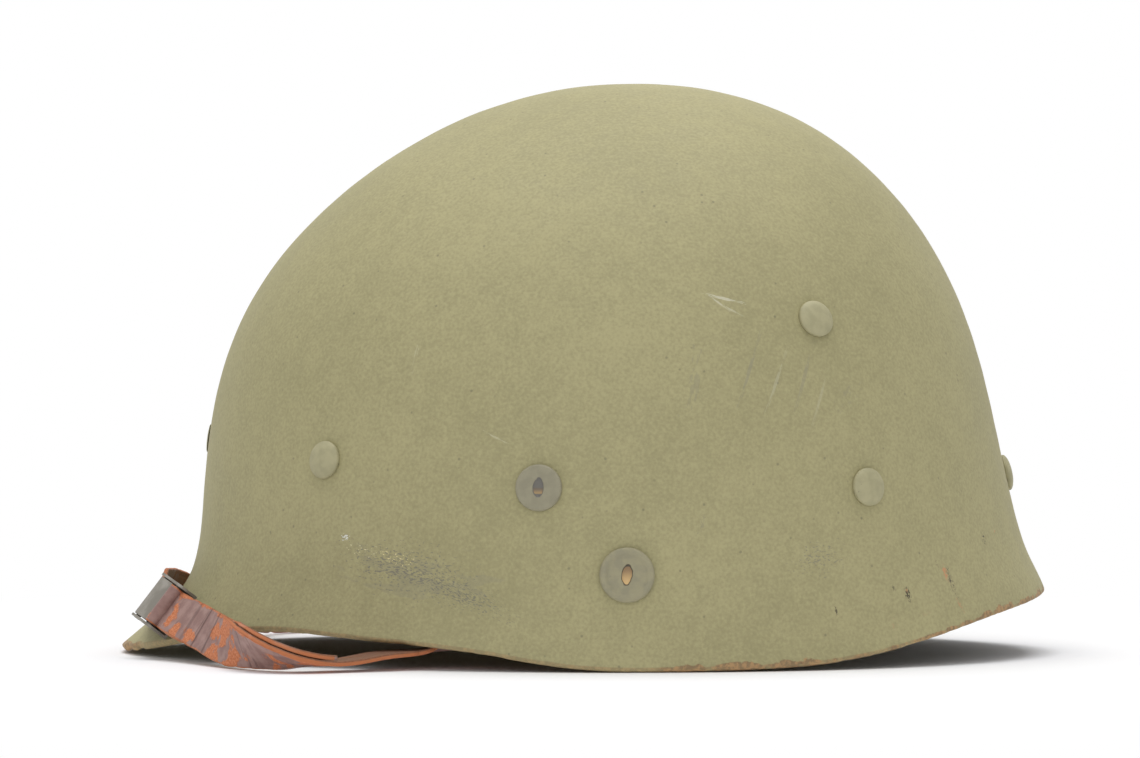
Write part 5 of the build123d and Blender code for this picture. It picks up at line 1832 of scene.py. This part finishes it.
@dataclass
class Studio:
    """White stage, soft lamps and the camera of the photograph."""

    camera_spot: tuple[float, float, float] = (-3.5, -1500.0, 81.0)
    focal_pixels: float = 5034.0
    middle: tuple[float, float] = (570.0, 379.0)
    half: float = 8.0

    def camera(self) -> None:
        """Level camera that looks along +Y, with the focal length in the photograph's pixels."""
        data = bpy.data.cameras.new("camera")
        data.sensor_width = 36.0
        data.lens = self.focal_pixels / PHOTO_WIDTH * data.sensor_width
        data.shift_x = (PHOTO_WIDTH / 2 - self.middle[0]) / PHOTO_WIDTH
        data.shift_y = (self.middle[1] - PHOTO_HEIGHT / 2) / PHOTO_WIDTH
        data.clip_start, data.clip_end = 0.05, 60.0
        camera = bpy.data.objects.new("camera", data)
        bpy.context.scene.collection.objects.link(camera)
        camera.location = [v * MM for v in self.camera_spot]
        camera.rotation_euler = (math.radians(90), 0.0, 0.0)
        bpy.context.scene.camera = camera

    def lamp(
        self,
        name: str,
        spot: tuple[float, float, float],
        aim: tuple[float, float, float],
        size: float,
        power: float,
    ) -> None:
        """Add a square soft lamp.

        Args:
            name: Its name.
            spot: Where it hangs, in metres.
            aim: The point that it faces.
            size: Side of the square.
            power: Its power in watts.
        """
        data = bpy.data.lights.new(name, "AREA")
        data.shape, data.size, data.energy = "SQUARE", size, power
        lamp = bpy.data.objects.new(name, data)
        bpy.context.scene.collection.objects.link(lamp)
        lamp.location = spot
        away = np.array(spot) - np.array(aim)
        lamp.rotation_euler = (
            math.atan2(math.hypot(away[0], away[1]), away[2]), 0.0, math.atan2(away[0], -away[1])
        )

    def build(self) -> None:
        """Set the world, the lamps, the floor and the camera."""
        scene = bpy.context.scene
        scene.view_settings.view_transform = "Standard"
        world = bpy.data.worlds.new("studio")
        scene.world = world
        world.use_nodes = True
        tree = world.node_tree
        tree.nodes.clear()
        rays = add_node(tree, "ShaderNodeLightPath")
        seen = Finish.math(tree, "MAXIMUM", rays.outputs["Is Camera Ray"], rays.outputs["Is Glossy Ray"])
        seen = Finish.math(tree, "MAXIMUM", seen, rays.outputs["Is Transmission Ray"])
        strength = Finish.math(tree, "MULTIPLY_ADD", seen, 0.52, 0.48)
        white = (1.0, 1.0, 1.0, 1.0)
        light = add_node(tree, "ShaderNodeBackground", {"Color": white, "Strength": strength})
        add_node(tree, "ShaderNodeOutputWorld", {"Surface": light.outputs[0]})
        self.lamp("overhead", (0.0, 0.12, 1.7), (0.0, 0.0, 0.1), 1.5, 23.0)
        self.lamp("below", (0.1, -0.2, -1.2), (0.0, 0.0, 0.05), 1.2, 5.0)
        self.lamp("front", (-0.2, -2.0, 0.9), (0.0, 0.0, 0.08), 1.4, 7.5)
        floor = bpy.data.meshes.new("floor")
        corners = [(-1, -1), (1, -1), (1, 1), (-1, 1)]
        floor.from_pydata([(x * self.half, y * self.half, 0.0) for x, y in corners], [], [(0, 1, 2, 3)])
        floor.materials.append(WhiteStage("matt_white_paper").material())
        ground = bpy.data.objects.new("floor", floor)
        scene.collection.objects.link(ground)
        self.camera()


def main() -> None:
    """Build the liner's looks in order."""
    logging.basicConfig(level=logging.INFO, format="%(message)s")
    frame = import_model()
    dome = Dome()
    Studio().build()
    paint = OliveEnamel("olive_drab_enamel_on_fibre", marks=MARKS).material()
    LinerShell(dome).build(paint)
    finishes = {
        "domed": PaintedHead("olive_drab_enamel_on_rivets", "9C9775", "A7A17E").material(),
        "flat": PaintedHead(
            "grey_olive_enamel_on_flat_rivets", "88836D", "918C75", "A98D62", "6E6354", "5F5D5A", -1.9, -0.2
        ).material(),
        "stud": PaintedHead("grey_olive_enamel_on_studs", "8C876E", "979174").material(),
        "eyelet": DullSteel(
            "enamelled_brass_eyelet", "9A9475", "A39D7C", "77663F", 0.0, 0.55, 0.60
        ).material(),
    }
    Heads(dome).build(finishes)
    Chinstrap(dome).build(FlakedLeather("flaked_russet_leather").material())
    web = HerringboneWeb("herringbone_cotton_webbing").material()
    Webbing(dome).build(web, SweatLeather("tanned_sweatband_leather").material())
    hardware = Hardware(frame)
    plated = DullSteel("zinc_plated_sheet_steel").material()
    edges = {
        "washer_": 0.2,
        "band_clip_": 0.12,
        "sweatband_rivets": 0.12,
        "size_slider": 0.12,
        "strap_clip_": 0.2,
        "strap_rivet_": 0.15,
    }
    for prefix, edge in edges.items():
        hardware.dress(prefix, plated, Slot.STEEL, edge)
    worn = DullSteel(
        "worn_enamel_on_buckle_steel", "7A756B", "928D84", "6E5240", 0.25, 0.5, 0.66
    ).material()
    hardware.dress("buckle_", worn, Slot.BUCKLE, 0.22)


if __name__ == "__main__":
    main()
